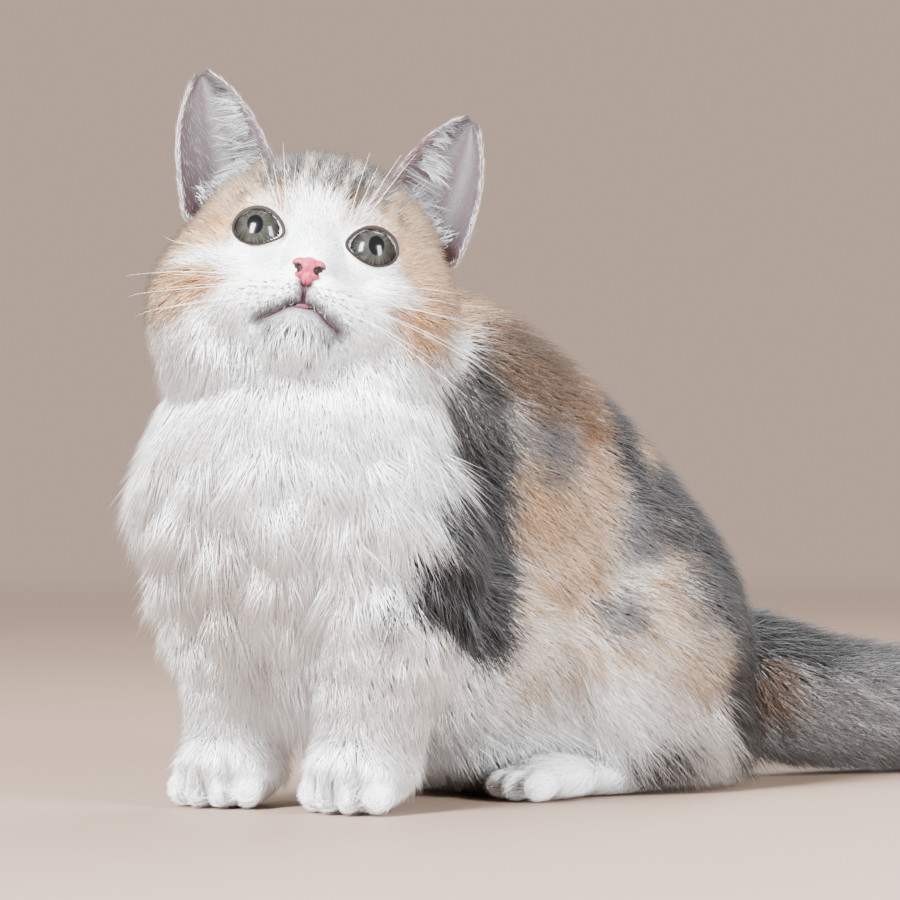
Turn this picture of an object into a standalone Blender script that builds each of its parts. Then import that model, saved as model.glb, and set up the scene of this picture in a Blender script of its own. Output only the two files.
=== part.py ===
"""A seated munchkin kitten, life size, as a still model in named solids.

Metres, +Z up, floor at Z = 0. The body's axis runs along Y: the chest faces -Y, the tail
lies towards +Y and the animal's left side is +X. The head looks up and to its left.
Each soft form is a set of overlapping ellipsoids fused by a voxel remesh. Throat, chest,
back, haunches, upper legs and tail are one trunk, which takes the coat's locks and is then
parted into named nodes by thin cuts.
"""
import math
import random
from dataclasses import dataclass, replace

import bmesh
import bpy
from mathutils import Matrix, Vector
from mathutils.bvhtree import BVHTree

MM = 0.001
GAP = 0.3 * MM

# ---------------------------------------------------------------- driving dimensions
CHEST_TURN = math.radians(20)      # the fore body bends to the left of the hind body
HEAD_TURN = math.radians(50)       # the face looks further to the left
HEAD_PITCH = math.radians(-22)     # and upwards
HEAD_ROLL = math.radians(10)
HEAD_CENTRE = Vector((-2.4, -12.9, 146.5)) * MM

EYE_RADIUS = 8.6 * MM
EYE_PLACE = Vector((15.1, -24.9, 4.0)) * MM
EYE_APERTURE = (6.7 * MM, 5.3 * MM)
EYE_SPLAY = math.radians(14)
LID = 2.0 * MM

MOUTH_GROOVE = 1.0 * MM

EAR_INNER_BASE = Vector((16.5, -3.0, 37.5)) * MM
EAR_OUTER_BASE = Vector((41.0, 5.0, 17.5)) * MM
EAR_TIP = Vector((40.5, 4.0, 67.0)) * MM
EAR_LEAN = -3.4 * MM               # both tips lean to the animal's right
EAR_CUP = 10.0 * MM
EAR_WALL = 1.9 * MM
EAR_SINK = 75 * MM                 # how fast the ear's foot narrows inside the head

FORE_PAW = {"left": Vector((24.5, -17.0, 0.0)), "right": Vector((-16.5, -31.5, 0.0))}
HIND_PAW = {"left": Vector((22.5, 55.0, 0.0)), "right": Vector((-33.5, 55.0, 0.0))}
MIDLINE = -5.0                     # X of the hind body, in millimetres
TAIL_ROUTE = (                     # centre and half thickness, in millimetres
    (-3, 132, 36, 25), (3, 154, 31, 23.5), (7, 182, 24, 22), (13, 212, 19.8, 21),
    (24, 238, 16.8, 18.4), (40, 257, 12.2, 13.8), (52, 264, 8, 9),
)
SIDES = {"left": 1, "right": -1}

TAIL_SEAMS = {"tail_tip": 3.3, "tail_base": 0.8}     # places along TAIL_ROUTE, in stations
FORELEG_REACH = (25, 28, 43)       # radii of the ellipsoid that holds an upper foreleg
THIGH_REACH = (26, 43, 42)
CHEST_SEAM = ((-2, 4, 80), (0.34, -0.92, -0.15))     # point and normal of the plane
RUMP_SEAM = ((MIDLINE, 86, 60), (0, 0.88, -0.4))

TRUNK_VOXEL = 1.7 * MM
HEAD_VOXEL = 1.2 * MM
TRUNK_TRIANGLES = 3000
HEAD_TRIANGLES = 1960
PAW_TRIANGLES = 260
NOSE_TRIANGLES = 200
ROOM_TRIANGLES = 420               # of the hollow in the neck that the head sits in
ROOM_SLACK = 0.9 * MM

LOCK_SINK = 3.0                    # the roots' depth under the core, in millimetres
LOCK_THICKNESS = 2.3
LOCK_SECTIONS = ((0.0, 0.8, 0.9), (0.34, 1.0, 1.0), (0.7, 0.62, 0.75))    # place, width, thickness
LOCK_SWAY = 0.16                   # how far a tip may bend to a side, as a share of the length
LOCK_TURN = 0.2                    # how far a lock may turn from the lie, in radians
LOCK_LENGTHS = (1.0, 0.8, 0.62)    # tried in turn until the lock keeps to its own node
LOCK_TRIES = 4000                  # places tried for roots
FEELER = 7                         # height over the surface from which it is felt for

COLOURS = {
    "white_coat": ((0.78, 0.77, 0.76), 0.9),
    "tabby_coat": ((0.42, 0.36, 0.30), 0.9),
    "cream_coat": ((0.70, 0.60, 0.50), 0.9),
    "iris": ((0.22, 0.22, 0.17), 0.15),
    "nose_leather": ((0.72, 0.38, 0.40), 0.5),
}


@dataclass(frozen=True)
class Coat:
    """The locks of one stretch of coat, in millimetres. The tips stand so high over the core."""

    length: float
    width: float
    stand: float
    spacing: float


COATS = {
    "chest": Coat(length=30, width=11, stand=4.2, spacing=15),
    "torso": Coat(length=29, width=12, stand=3.6, spacing=23),
    "thigh": Coat(length=24, width=11, stand=3.0, spacing=23.5),
    "rump": Coat(length=27, width=11.5, stand=3.6, spacing=22),
    "tail": Coat(length=30, width=11.5, stand=3.6, spacing=20.5),
}
CHEEK = Coat(length=17, width=7.5, stand=2.6, spacing=12)
BRISKET = Coat(length=24, width=8.5, stand=0, spacing=7.5)


@dataclass(frozen=True)
class Region:
    """A named share of the trunk: inside an ellipsoid, or beyond a plane.

    centre is in millimetres. radii makes an ellipsoid, and normal a plane.
    """

    name: str
    centre: tuple
    radii: tuple = ()
    normal: tuple = ()

    def holds(self, point, margin=0.0):
        """Whether a point in millimetres lies in the region by at least the margin."""
        away = point - Vector(self.centre)
        if self.normal:
            return away.dot(Vector(self.normal).normalized()) > margin
        return sum((away[i] / (self.radii[i] - margin)) ** 2 for i in range(3)) < 1

    def cutter(self, grow):
        """The region as a closed mesh, grown by some millimetres."""
        bm = bmesh.new()
        if self.radii:
            add_ball(bm, self.centre, [r + grow for r in self.radii], detail=2)
            return object_of(bm, "cutter")
        bm.free()
        spin = Vector(self.normal).to_track_quat("Z", "Y").to_matrix().to_4x4()
        matrix = Matrix.Translation(Vector(self.centre) * MM) @ spin
        return box_cutter("cutter", (-0.3, -0.3, -grow * MM), (0.3, 0.3, 0.5), matrix)


def trunk_regions():
    """The trunk's nodes in the order in which they are cut off it. What is left is the torso."""
    made = []
    for name, station in TAIL_SEAMS.items():
        before, at, after = (tail_point(station + step) for step in (-0.1, 0, 0.1))
        made.append(Region(name, tuple(at), normal=tuple(after - before)))
    for name, side in SIDES.items():
        paw = FORE_PAW[name]
        made.append(Region(f"foreleg_{name}", (paw.x + side * 2, paw.y + 9, 16), FORELEG_REACH))
    for name, side in SIDES.items():
        made.append(Region(f"thigh_{name}", (MIDLINE + side * 38, 90, 42), THIGH_REACH))
    for name, (point, normal) in (("chest", CHEST_SEAM), ("rump", RUMP_SEAM)):
        made.append(Region(name, point, normal=normal))
    return made


# ---------------------------------------------------------------- tools
def clear_scene():
    """Removes every object of the startup scene."""
    for obj in list(bpy.data.objects):
        bpy.data.objects.remove(obj, do_unlink=True)


def make_collection(name):
    """A new collection in the scene."""
    made = bpy.data.collections.new(name)
    bpy.context.scene.collection.children.link(made)
    return made


def make_material(name):
    """A Principled material with the colour and roughness of COLOURS."""
    colour, roughness = COLOURS[name]
    material = bpy.data.materials.new(name)
    material.use_nodes = True
    shader = material.node_tree.nodes["Principled BSDF"]
    shader.inputs["Base Color"].default_value = (*colour, 1)
    shader.inputs["Roughness"].default_value = roughness
    shader.inputs["Metallic"].default_value = 0
    return material


def object_of(bm, name):
    """A linked mesh object from a bmesh, which is freed."""
    mesh = bpy.data.meshes.new(name)
    bm.to_mesh(mesh)
    bm.free()
    obj = bpy.data.objects.new(name, mesh)
    bpy.context.scene.collection.objects.link(obj)
    return obj


def frame_at(centre, turn=0.0, pitch=0.0, roll=0.0):
    """The matrix of a form at centre, pitched about X, rolled about Y and turned about Z."""
    return (Matrix.Translation(centre) @ Matrix.Rotation(turn, 4, "Z")
            @ Matrix.Rotation(roll, 4, "Y") @ Matrix.Rotation(pitch, 4, "X"))


def add_ball(bm, centre, radii, turn=0.0, pitch=0.0, roll=0.0, detail=3):
    """Adds one ellipsoid to a bmesh. Centre and radii are in millimetres."""
    scale = Matrix.Diagonal((*(r * MM for r in radii), 1))
    matrix = frame_at(Vector(centre) * MM, turn, pitch, roll) @ scale
    bmesh.ops.create_icosphere(bm, subdivisions=detail, radius=1, matrix=matrix)


def curve_point(points, place):
    """The point of a Catmull-Rom curve through points, at a place counted in points."""
    place = min(max(place, 0), len(points) - 1)
    ends = [2 * points[0] - points[1], *points, 2 * points[-1] - points[-2]]
    i = min(int(place), len(points) - 2)
    t = place - i
    a, b, c, d = ends[i:i + 4]
    return 0.5 * (2 * b + (c - a) * t + (2 * a - 5 * b + 4 * c - d) * t ** 2
                  + (3 * b - a - 3 * c + d) * t ** 3)


def curve_through(points, count):
    """So many points on a smooth curve through the given ones."""
    return [curve_point(points, step / (count - 1) * (len(points) - 1)) for step in range(count)]


def tail_point(place):
    """The middle of the tail, in millimetres, at a place counted in stations."""
    return curve_point([Vector(station) for station in TAIL_ROUTE], place).xyz


def add_sweep(bm, stations, count, turn=0.0, detail=3):
    """Adds ellipsoids along a curve of stations (centre, radii), in millimetres."""
    centres = [Vector(centre) for centre, _ in stations]
    sizes = [Vector(radii) for _, radii in stations]
    for centre, radii in zip(curve_through(centres, count), curve_through(sizes, count)):
        add_ball(bm, centre, radii, turn=turn, detail=detail)


def add_limb(bm, stations, count=16):
    """Adds balls along a curve of stations (x, y, z, half thickness), in millimetres."""
    for x, y, z, half in curve_through([Vector(station) for station in stations], count):
        add_ball(bm, (x, y, z), (half, half, half), detail=2)


def applied(obj, *modifiers):
    """Adds modifiers given as (type, settings), and bakes them all into the mesh."""
    for kind, settings in modifiers:
        modifier = obj.modifiers.new(kind.lower(), kind)
        for key, value in settings.items():
            setattr(modifier, key, value)
    graph = bpy.context.evaluated_depsgraph_get()
    mesh = bpy.data.meshes.new_from_object(obj.evaluated_get(graph))
    obj.modifiers.clear()
    old, obj.data = obj.data, mesh
    bpy.data.meshes.remove(old)
    return obj


def fused(bm, name, voxel, softness, triangles):
    """One smooth closed mesh from overlapping balls, with about so many triangles."""
    obj = object_of(bm, name)
    applied(obj, ("REMESH", {"mode": "VOXEL", "voxel_size": voxel}),
            ("SMOOTH", {"factor": 0.5, "iterations": softness}))
    obj.data.calc_loop_triangles()
    share = triangles / len(obj.data.loop_triangles)
    return applied(obj, ("TRIANGULATE", {}), ("DECIMATE", {"ratio": share}))


def placed(obj, matrix):
    """Bakes a matrix into the mesh."""
    obj.data.transform(matrix)
    return obj


def copy_of(obj, name):
    """An independent copy of a mesh object."""
    twin = bpy.data.objects.new(name, obj.data.copy())
    bpy.context.scene.collection.objects.link(twin)
    return twin


def grown(obj, distance):
    """A copy of a closed mesh with every vertex moved out along its normal."""
    twin = copy_of(obj, obj.name + "_grown")
    bm = bmesh.new()
    bm.from_mesh(twin.data)
    bmesh.ops.recalc_face_normals(bm, faces=bm.faces)
    bm.normal_update()
    moves = [vertex.normal * distance * vertex.calc_shell_factor() for vertex in bm.verts]
    for vertex, move in zip(bm.verts, moves):
        vertex.co += move
    bm.to_mesh(twin.data)
    bm.free()
    return twin


def remove(obj):
    """Deletes an object and its mesh."""
    mesh = obj.data
    bpy.data.objects.remove(obj, do_unlink=True)
    bpy.data.meshes.remove(mesh)


def largest_surface(obj):
    """Keeps only the closed surface that has the most vertices."""
    bm = bmesh.new()
    bm.from_mesh(obj.data)
    left = set(bm.verts)
    groups = []
    while left:
        group, front = set(), [left.pop()]
        while front:
            vertex = front.pop()
            group.add(vertex)
            for edge in vertex.link_edges:
                other = edge.other_vert(vertex)
                if other in left:
                    left.remove(other)
                    front.append(other)
        groups.append(group)
    groups.sort(key=len, reverse=True)
    for group in groups[1:]:
        bmesh.ops.delete(bm, geom=list(group), context="VERTS")
    bm.to_mesh(obj.data)
    bm.free()
    return obj


def boolean(obj, other, operation, keep_other=False, solver="EXACT"):
    """Applies one Boolean of obj with other, and drops other unless it is kept."""
    applied(obj, ("BOOLEAN", {"object": other, "operation": operation, "solver": solver}))
    if not keep_other:
        remove(other)
    return largest_surface(obj)


def box_cutter(name, low, high, matrix=Matrix()):
    """A box between two corners, in metres, then moved by a matrix."""
    bm = bmesh.new()
    low, high = Vector(low), Vector(high)
    scale = Matrix.Diagonal((*(high - low), 1))
    bmesh.ops.create_cube(bm, size=1, matrix=matrix @ Matrix.Translation((low + high) / 2) @ scale)
    return object_of(bm, name)


def tube(name, points, radius):
    """A closed tube of square section along points, in metres."""
    curve = bpy.data.curves.new(name, "CURVE")
    curve.dimensions = "3D"
    curve.bevel_depth = radius
    curve.bevel_resolution = 0
    curve.use_fill_caps = True
    spline = curve.splines.new("POLY")
    spline.points.add(len(points) - 1)
    for knot, point in zip(spline.points, points):
        knot.co = (*point, 1)
    path = bpy.data.objects.new(name, curve)
    bpy.context.scene.collection.objects.link(path)
    graph = bpy.context.evaluated_depsgraph_get()
    made = bpy.data.objects.new(name, bpy.data.meshes.new_from_object(path.evaluated_get(graph)))
    bpy.context.scene.collection.objects.link(made)
    bpy.data.objects.remove(path, do_unlink=True)
    bpy.data.curves.remove(curve)
    bm = bmesh.new()
    bm.from_mesh(made.data)
    bmesh.ops.remove_doubles(bm, verts=bm.verts, dist=0.001 * MM)
    bmesh.ops.recalc_face_normals(bm, faces=bm.faces)
    bm.to_mesh(made.data)
    bm.free()
    return made


# ---------------------------------------------------------------- locks of the coat
def region_name(point):
    """The name of the trunk's node that a point in millimetres falls in."""
    for region in trunk_regions():
        if region.holds(point):
            return region.name
    return "torso"


def tree_of(obj):
    """A search tree over a mesh's faces."""
    bm = bmesh.new()
    bm.from_mesh(obj.data)
    tree = BVHTree.FromBMesh(bm)
    bm.free()
    return tree


def scattered(obj, dice, count):
    """So many random points spread evenly over a mesh, each with its face's normal."""
    obj.data.calc_loop_triangles()
    triangles = list(obj.data.loop_triangles)
    for triangle in dice.choices(triangles, weights=[each.area for each in triangles], k=count):
        a, b, c = (obj.data.vertices[i].co for i in triangle.vertices)
        u, v = sorted((dice.random(), dice.random()))
        yield a * u + b * (v - u) + c * (1 - v), triangle.normal.copy()


def lie_on(name, point):
    """The way the hair of a node of the trunk runs at a point in millimetres."""
    if name.startswith("tail"):
        stations = [step * 0.25 for step in range(4 * len(TAIL_ROUTE) - 3)]
        near = min(stations, key=lambda place: (tail_point(place) - point).length)
        return tail_point(near + 0.2) - tail_point(near - 0.2)
    if name == "chest":
        return Vector((point.x * 0.006, 0, -1))
    return Vector((0, 0.75, -0.66))


def lock_sections(tree, root, normal, lie, coat, sway=0.0):
    """Sections (point, normal, width, thickness) of a lock that follows the surface, in metres."""
    sections = []
    aside = lie.cross(normal) * sway * coat.length
    for place, wide, thick in (*LOCK_SECTIONS, (1.0, 0.0, 0.0)):
        outside = root + (lie * coat.length * place + aside * place ** 2 + normal * FEELER) * MM
        foot = tree.find_nearest(outside)[0]
        up = (outside - foot).normalized()
        height = (coat.stand + LOCK_SINK) * place ** 0.6 - LOCK_SINK
        sections.append((foot + up * height * MM, up, coat.width * wide * MM,
                         LOCK_THICKNESS * thick * MM))
    return sections


def hanging_sections(root, normal, lie, coat):
    """Sections of a lock that hangs free of the surface."""
    sections = []
    for place, wide, thick in (*LOCK_SECTIONS, (1.0, 0.0, 0.0)):
        point = root + lie * (coat.length * place - LOCK_SINK) * MM
        sections.append((point, normal, coat.width * wide * MM, LOCK_THICKNESS * thick * MM))
    return sections


def lock_of(sections, name, grow=0.0):
    """A closed blade, flat below and ridged above, through its sections to a pointed tip."""
    bm = bmesh.new()
    rings = []
    for i, (point, up, width, thick) in enumerate(sections[:-1]):
        along = (sections[i + 1][0] - point).normalized()
        across = along.cross(up).normalized() * (width / 2 + 2 * grow)
        out = across.cross(along).normalized()
        base = point - out * (thick / 2 + grow)
        ridge = point + out * (thick / 2 + 2 * grow)
        rings.append([bm.verts.new(corner) for corner in (base + across, ridge, base - across)])
    end = bm.verts.new(sections[-1][0] + along * 2 * grow)
    for low, high in zip(rings, rings[1:]):
        for j in range(3):
            k = (j + 1) % 3
            bm.faces.new((low[j], low[k], high[k]))
            bm.faces.new((low[j], high[k], high[j]))
    for j in range(3):
        bm.faces.new((rings[-1][j], rings[-1][(j + 1) % 3], end))
    bm.faces.new(rings[0])
    bmesh.ops.recalc_face_normals(bm, faces=bm.faces)
    return object_of(bm, name)


def turned(lie, normal, angle):
    """The lie laid into the surface and turned about its normal, or None where it has none."""
    flat = lie.normalized()
    flat = flat - normal * flat.dot(normal)
    if flat.length < 0.45:
        return None
    return Matrix.Rotation(angle, 3, normal) @ flat.normalized()


def trunk_locks(trunk):
    """The sections of every lock of the trunk, spread over each node as its coat says."""
    dice = random.Random(11)
    tree = tree_of(trunk)
    roots, made = [], []
    for root, normal in scattered(trunk, dice, LOCK_TRIES):
        point = root / MM
        name = region_name(point)
        coat = COATS.get(name.split("_")[0])
        if not coat or min(((other - point).length for other in roots), default=99) < coat.spacing:
            continue
        lie = turned(lie_on(name, point), normal, dice.uniform(-LOCK_TURN, LOCK_TURN))
        if lie is None:
            continue
        sway = dice.uniform(-LOCK_SWAY, LOCK_SWAY)
        for share in LOCK_LENGTHS:
            size = coat.length * share * dice.uniform(0.9, 1.1)
            sections = lock_sections(tree, root, normal, lie, replace(coat, length=size), sway)
            tip = sections[-1][0] / MM
            if {region_name(place / MM) for place, *_ in sections} == {name} and tip.z > 2:
                roots.append(point)
                made.append(sections)
                break
    return made


def brisket_locks(trunk):
    """The locks that hang from the brisket between the forelegs."""
    dice = random.Random(5)
    middle = (FORE_PAW["left"] + FORE_PAW["right"]) / 2
    front = Matrix.Rotation(CHEST_TURN, 3, "Z") @ Vector((0, -1, 0))
    roots, made = [], []
    for root, normal in scattered(trunk, dice, LOCK_TRIES):
        point = root / MM
        away = point - middle
        if normal.z > -0.2 or abs(away.x) > 13 or not -17 < away.y < 16 or not 38 < point.z < 72:
            continue
        if min(((other - point).length for other in roots), default=99) < BRISKET.spacing:
            continue
        roots.append(point)
        lie = Vector((dice.uniform(-0.1, 0.1), dice.uniform(-0.2, 0.05), -1)).normalized()
        coat = replace(BRISKET, length=BRISKET.length * dice.uniform(0.8, 1.1))
        made.append(hanging_sections(root, front, lie, coat))
    return made


def cheek_locks(head):
    """The locks of the cheeks' lower and rear edge, in the head's frame."""
    dice = random.Random(3)
    tree = tree_of(head)
    roots, made = [], []
    for root, normal in scattered(head, dice, LOCK_TRIES):
        point = root / MM
        if not (abs(point.x) > 21 and -16 < point.y < 22 and -27 < point.z < 10):
            continue
        if min(((other - point).length for other in roots), default=99) < CHEEK.spacing:
            continue
        side = math.copysign(1, point.x)
        lie = turned(Vector((side * 0.35, 0.55, -0.7)), normal,
                     dice.uniform(-LOCK_TURN, LOCK_TURN))
        if lie is None:
            continue
        roots.append(point)
        coat = replace(CHEEK, length=CHEEK.length * dice.uniform(0.85, 1.1))
        made.append(lock_sections(tree, root, normal, lie, coat))
    return made


def combine(obj, locks, operation, grow=0.0):
    """Joins locks to obj, or cuts them out of it, in one Boolean on a collection."""
    holder = make_collection("locks")
    for i, sections in enumerate(locks):
        lock = lock_of(sections, f"lock_{i}", grow)
        bpy.context.scene.collection.objects.unlink(lock)
        holder.objects.link(lock)
    applied(obj, ("BOOLEAN", {"operand_type": "COLLECTION", "collection": holder,
                              "operation": operation, "solver": "MANIFOLD"}))
    for lock in list(holder.objects):
        remove(lock)
    bpy.data.collections.remove(holder)
    return largest_surface(obj)


# ---------------------------------------------------------------- soft forms
def build_trunk():
    """Throat, chest, back, haunches, upper legs and tail in one smooth skin."""
    bm = bmesh.new()
    add_sweep(bm, (((-4, -12, 120), (42, 37, 26)), ((-2, -16, 98), (48, 42, 36)),
                   ((-1, -16, 80), (49, 41, 36)), ((-1, -10, 62), (45, 34, 32))),
              9, turn=CHEST_TURN)
    add_sweep(bm, (((-3, 12, 118), (38, 34, 34)), ((-4, 34, 108), (38, 40, 40)),
                   ((MIDLINE, 62, 86), (41, 43, 44)), ((MIDLINE, 86, 62), (43, 45, 45)),
                   ((MIDLINE, 104, 46), (43, 42, 42)), ((MIDLINE, 114, 29), (38, 34, 31))), 16)
    add_sweep(bm, (((MIDLINE + 2, 16, 58), (34, 30, 30)), ((MIDLINE + 1, 50, 44), (37, 40, 31)),
                   ((MIDLINE, 84, 34), (36, 36, 27))), 7)
    for name, side in SIDES.items():
        paw = FORE_PAW[name]
        add_ball(bm, (MIDLINE + side * 29, 90, 43), (22, 36, 33), turn=-side * 0.12)
        add_limb(bm, ((paw.x * 0.95, paw.y + 9, 78, 26), (paw.x + side * 1.5, paw.y + 8, 56, 23),
                      (paw.x, paw.y + 7, 40, 18.5), (paw.x, paw.y + 5, 26, 15.5),
                      (paw.x, paw.y + 3, 15, 13)))
    add_limb(bm, TAIL_ROUTE, count=26)
    return fused(bm, "trunk", TRUNK_VOXEL, 14, TRUNK_TRIANGLES)


def build_head():
    """The skull with cheeks, muzzle and lids, in its own frame facing -Y."""
    bm = bmesh.new()
    eye = EYE_PLACE / MM
    add_ball(bm, (0, 4, 4), (37, 36, 34.5))                            # skull
    add_ball(bm, (0, -9, 13), (27, 23, 22))                            # forehead
    add_ball(bm, (0, -18, -22), (19, 19, 11.5))                        # jaw
    add_ball(bm, (0, -29.5, -24), (8, 8, 6))                           # chin
    add_limb(bm, ((0, -20, 8, 10.5), (0, -29, -1, 9), (0, -34.5, -7.5, 6.2)), 8)
    for side in SIDES.values():
        add_sweep(bm, (((side * 18, 0, 2), (22, 26, 22)), ((side * 23, -2, -10), (21, 24, 19)),
                       ((side * 19, -4, -19), (19, 22, 14))), 5)                # cheek and jowl
        add_sweep(bm, (((side * 5, -31, -13), (7, 8, 6.5)), ((side * 10, -28, -16), (10, 10, 8)),
                       ((side * 15, -22, -17), (11, 11, 9))), 5)                # whisker pad
        add_ball(bm, (side * eye.x, eye.y, eye.z), [(EYE_RADIUS + LID) / MM] * 3)
        add_ball(bm, (side * 14, -21, 13), (11, 8, 7))                          # brow
        add_ball(bm, (side * 21, -20, -5), (10, 10, 8))                         # below the eye
    return fused(bm, "head", HEAD_VOXEL, 7, HEAD_TRIANGLES)


def build_paw(name, side, toes_y, heel):
    """A flat-soled paw with four toes that reach toes_y, and a sole that reaches to heel."""
    bm = bmesh.new()
    add_ball(bm, (0, 3, 10.5), (14.5, 15, 11))
    add_ball(bm, (0, heel * 0.5, 9.0), (11.5, heel * 0.62 + 8, 9.5))
    for place, reach in ((-11.3, 4.5), (-4.1, 0.6), (4.1, 0), (11.3, 3.5)):
        spread = side * place
        add_ball(bm, (spread, toes_y + reach + 9, 8.2), (4.7, 9, 7.6), turn=spread * 0.02)
    paw = fused(bm, name, 1.1 * MM, 3, PAW_TRIANGLES)
    return boolean(paw, box_cutter("floor", (-1, -1, -0.2), (1, 1, 0)), "DIFFERENCE")


def build_ear(name, side):
    """A cupped shell from the base line to a rounded tip, open to the front."""
    bm = bmesh.new()
    bmesh.ops.create_grid(bm, x_segments=6, y_segments=8, size=1)
    for vertex in bm.verts:
        s, t = vertex.co.x, 0.6 * vertex.co.y + 0.38
        rise = max(t, 0.0)
        swell = math.sin(math.pi * min(rise, 1)) * MM
        inner = EAR_INNER_BASE.lerp(EAR_TIP, t) + Vector((-2.4, 0, 1.8)) * swell
        outer = EAR_OUTER_BASE.lerp(EAR_TIP, t) + Vector((5.2, 0, 1.0)) * swell
        outer.x += min(t, 0) * EAR_SINK
        point = inner.lerp(outer, (s + 1) / 2)
        point.y += EAR_CUP * (1 - s * s) * (1.05 - rise) ** 0.75 + 1.5 * MM * rise
        vertex.co = (point.x * side + EAR_LEAN * rise, point.y, point.z)
    bmesh.ops.recalc_face_normals(bm, faces=bm.faces)
    shell = {"thickness": EAR_WALL, "offset": 0.0, "use_even_offset": True}
    return applied(object_of(bm, name), ("SOLIDIFY", shell), ("TRIANGULATE", {}))


def build_nose():
    """Nose leather, in the head's frame."""
    bm = bmesh.new()
    for side in SIDES.values():
        add_ball(bm, (side * 2.8, -38.2, -8.6), (2.9, 3.0, 2.3))
    add_ball(bm, (0, -39.0, -9.3), (3.0, 3.2, 3.2))
    add_ball(bm, (0, -38.0, -12.0), (1.7, 2.8, 2.4))
    return fused(bm, "nose", 0.5 * MM, 3, NOSE_TRIANGLES)


def cut_nostrils(nose):
    """Cuts two slanted nostrils into the nose leather."""
    for side in SIDES.values():
        bm = bmesh.new()
        add_ball(bm, (side * 3.1, -41.4, -9.5), (1.5, 2.8, 1.05), roll=side * 0.5, detail=1)
        boolean(nose, object_of(bm, "nostril"), "DIFFERENCE")


def build_eye(name, side):
    """The eyeball, a plain sphere in the head's frame."""
    bm = bmesh.new()
    bmesh.ops.create_uvsphere(bm, u_segments=12, v_segments=8, radius=EYE_RADIUS)
    place = Vector((side * EYE_PLACE.x, EYE_PLACE.y, EYE_PLACE.z))
    return placed(object_of(bm, name), Matrix.Translation(place) @ Matrix.Rotation(math.pi / 2, 4, "X"))


def lid_opening(side):
    """An almond prism through the lids, pointed at the inner corner."""
    bm = bmesh.new()
    bmesh.ops.create_cone(bm, cap_ends=True, segments=14, radius1=1, radius2=1.25, depth=1)
    wide, high = EYE_APERTURE
    for vertex in bm.verts:
        x, z, far = vertex.co
        if x < 0:
            z *= 1 - 0.25 * x ** 2 / (x ** 2 + z ** 2)
            x *= 1.06
        vertex.co = (x * wide, -(far + 0.5) * 2 * EYE_RADIUS, z * high)
    if side < 0:
        bmesh.ops.scale(bm, vec=(-1, 1, 1), verts=bm.verts)
    bmesh.ops.recalc_face_normals(bm, faces=bm.faces)
    tilt = Matrix.Rotation(-side * math.radians(8), 4, "Y")
    place = Vector((side * EYE_PLACE.x, EYE_PLACE.y, EYE_PLACE.z))
    turn = Matrix.Rotation(side * EYE_SPLAY, 4, "Z")
    return placed(object_of(bm, "lid_opening"), Matrix.Translation(place) @ turn @ tilt)


def on_surface(obj, origin, target):
    """Where a ray from origin towards target leaves the mesh."""
    direction = (target - origin).normalized()
    hit, point, _, _ = obj.ray_cast(origin + direction * 0.1, -direction)
    return point if hit else target


def cut_mouth(head):
    """Cuts the philtrum and both lip lines as thin grooves along the muzzle's surface."""
    origin = Vector((0, -20, -16)) * MM
    routes = [((0, -40, -12.5), (0, -39, -16), (0, -38, -19.6))]
    for side in SIDES.values():
        routes.append(((-side * 0.6, -38, -19.3), (side * 4.5, -38, -21.2), (side * 9, -34, -24.0),
                       (side * 13.0, -28, -26.6)))
    for route in routes:
        line = curve_through([Vector(p) * MM for p in route], 7)
        groove = tube("mouth", [on_surface(head, origin, point) for point in line], MOUTH_GROOVE)
        boolean(head, groove, "DIFFERENCE")


# ---------------------------------------------------------------- assembly
def finish(obj, name, material, nodes):
    """Names a node, gives it its material and puts it in the model's collection."""
    obj.name = obj.data.name = name
    obj.data.materials.clear()
    obj.data.materials.append(material)
    for holder in list(obj.users_collection):
        holder.objects.unlink(obj)
    nodes.objects.link(obj)
    obj.data.shade_smooth()
    obj.data.set_sharp_from_angle(angle=math.radians(50))


def part_trunk(trunk):
    """Cuts the trunk into its regions, each with the gap to its neighbours."""
    made = {}
    for region in trunk_regions():
        node = copy_of(trunk, region.name)
        made[region.name] = boolean(node, region.cutter(0), "INTERSECT", solver="MANIFOLD")
        boolean(trunk, region.cutter(GAP / MM), "DIFFERENCE", solver="MANIFOLD")
    made["torso"] = trunk
    return made


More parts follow.
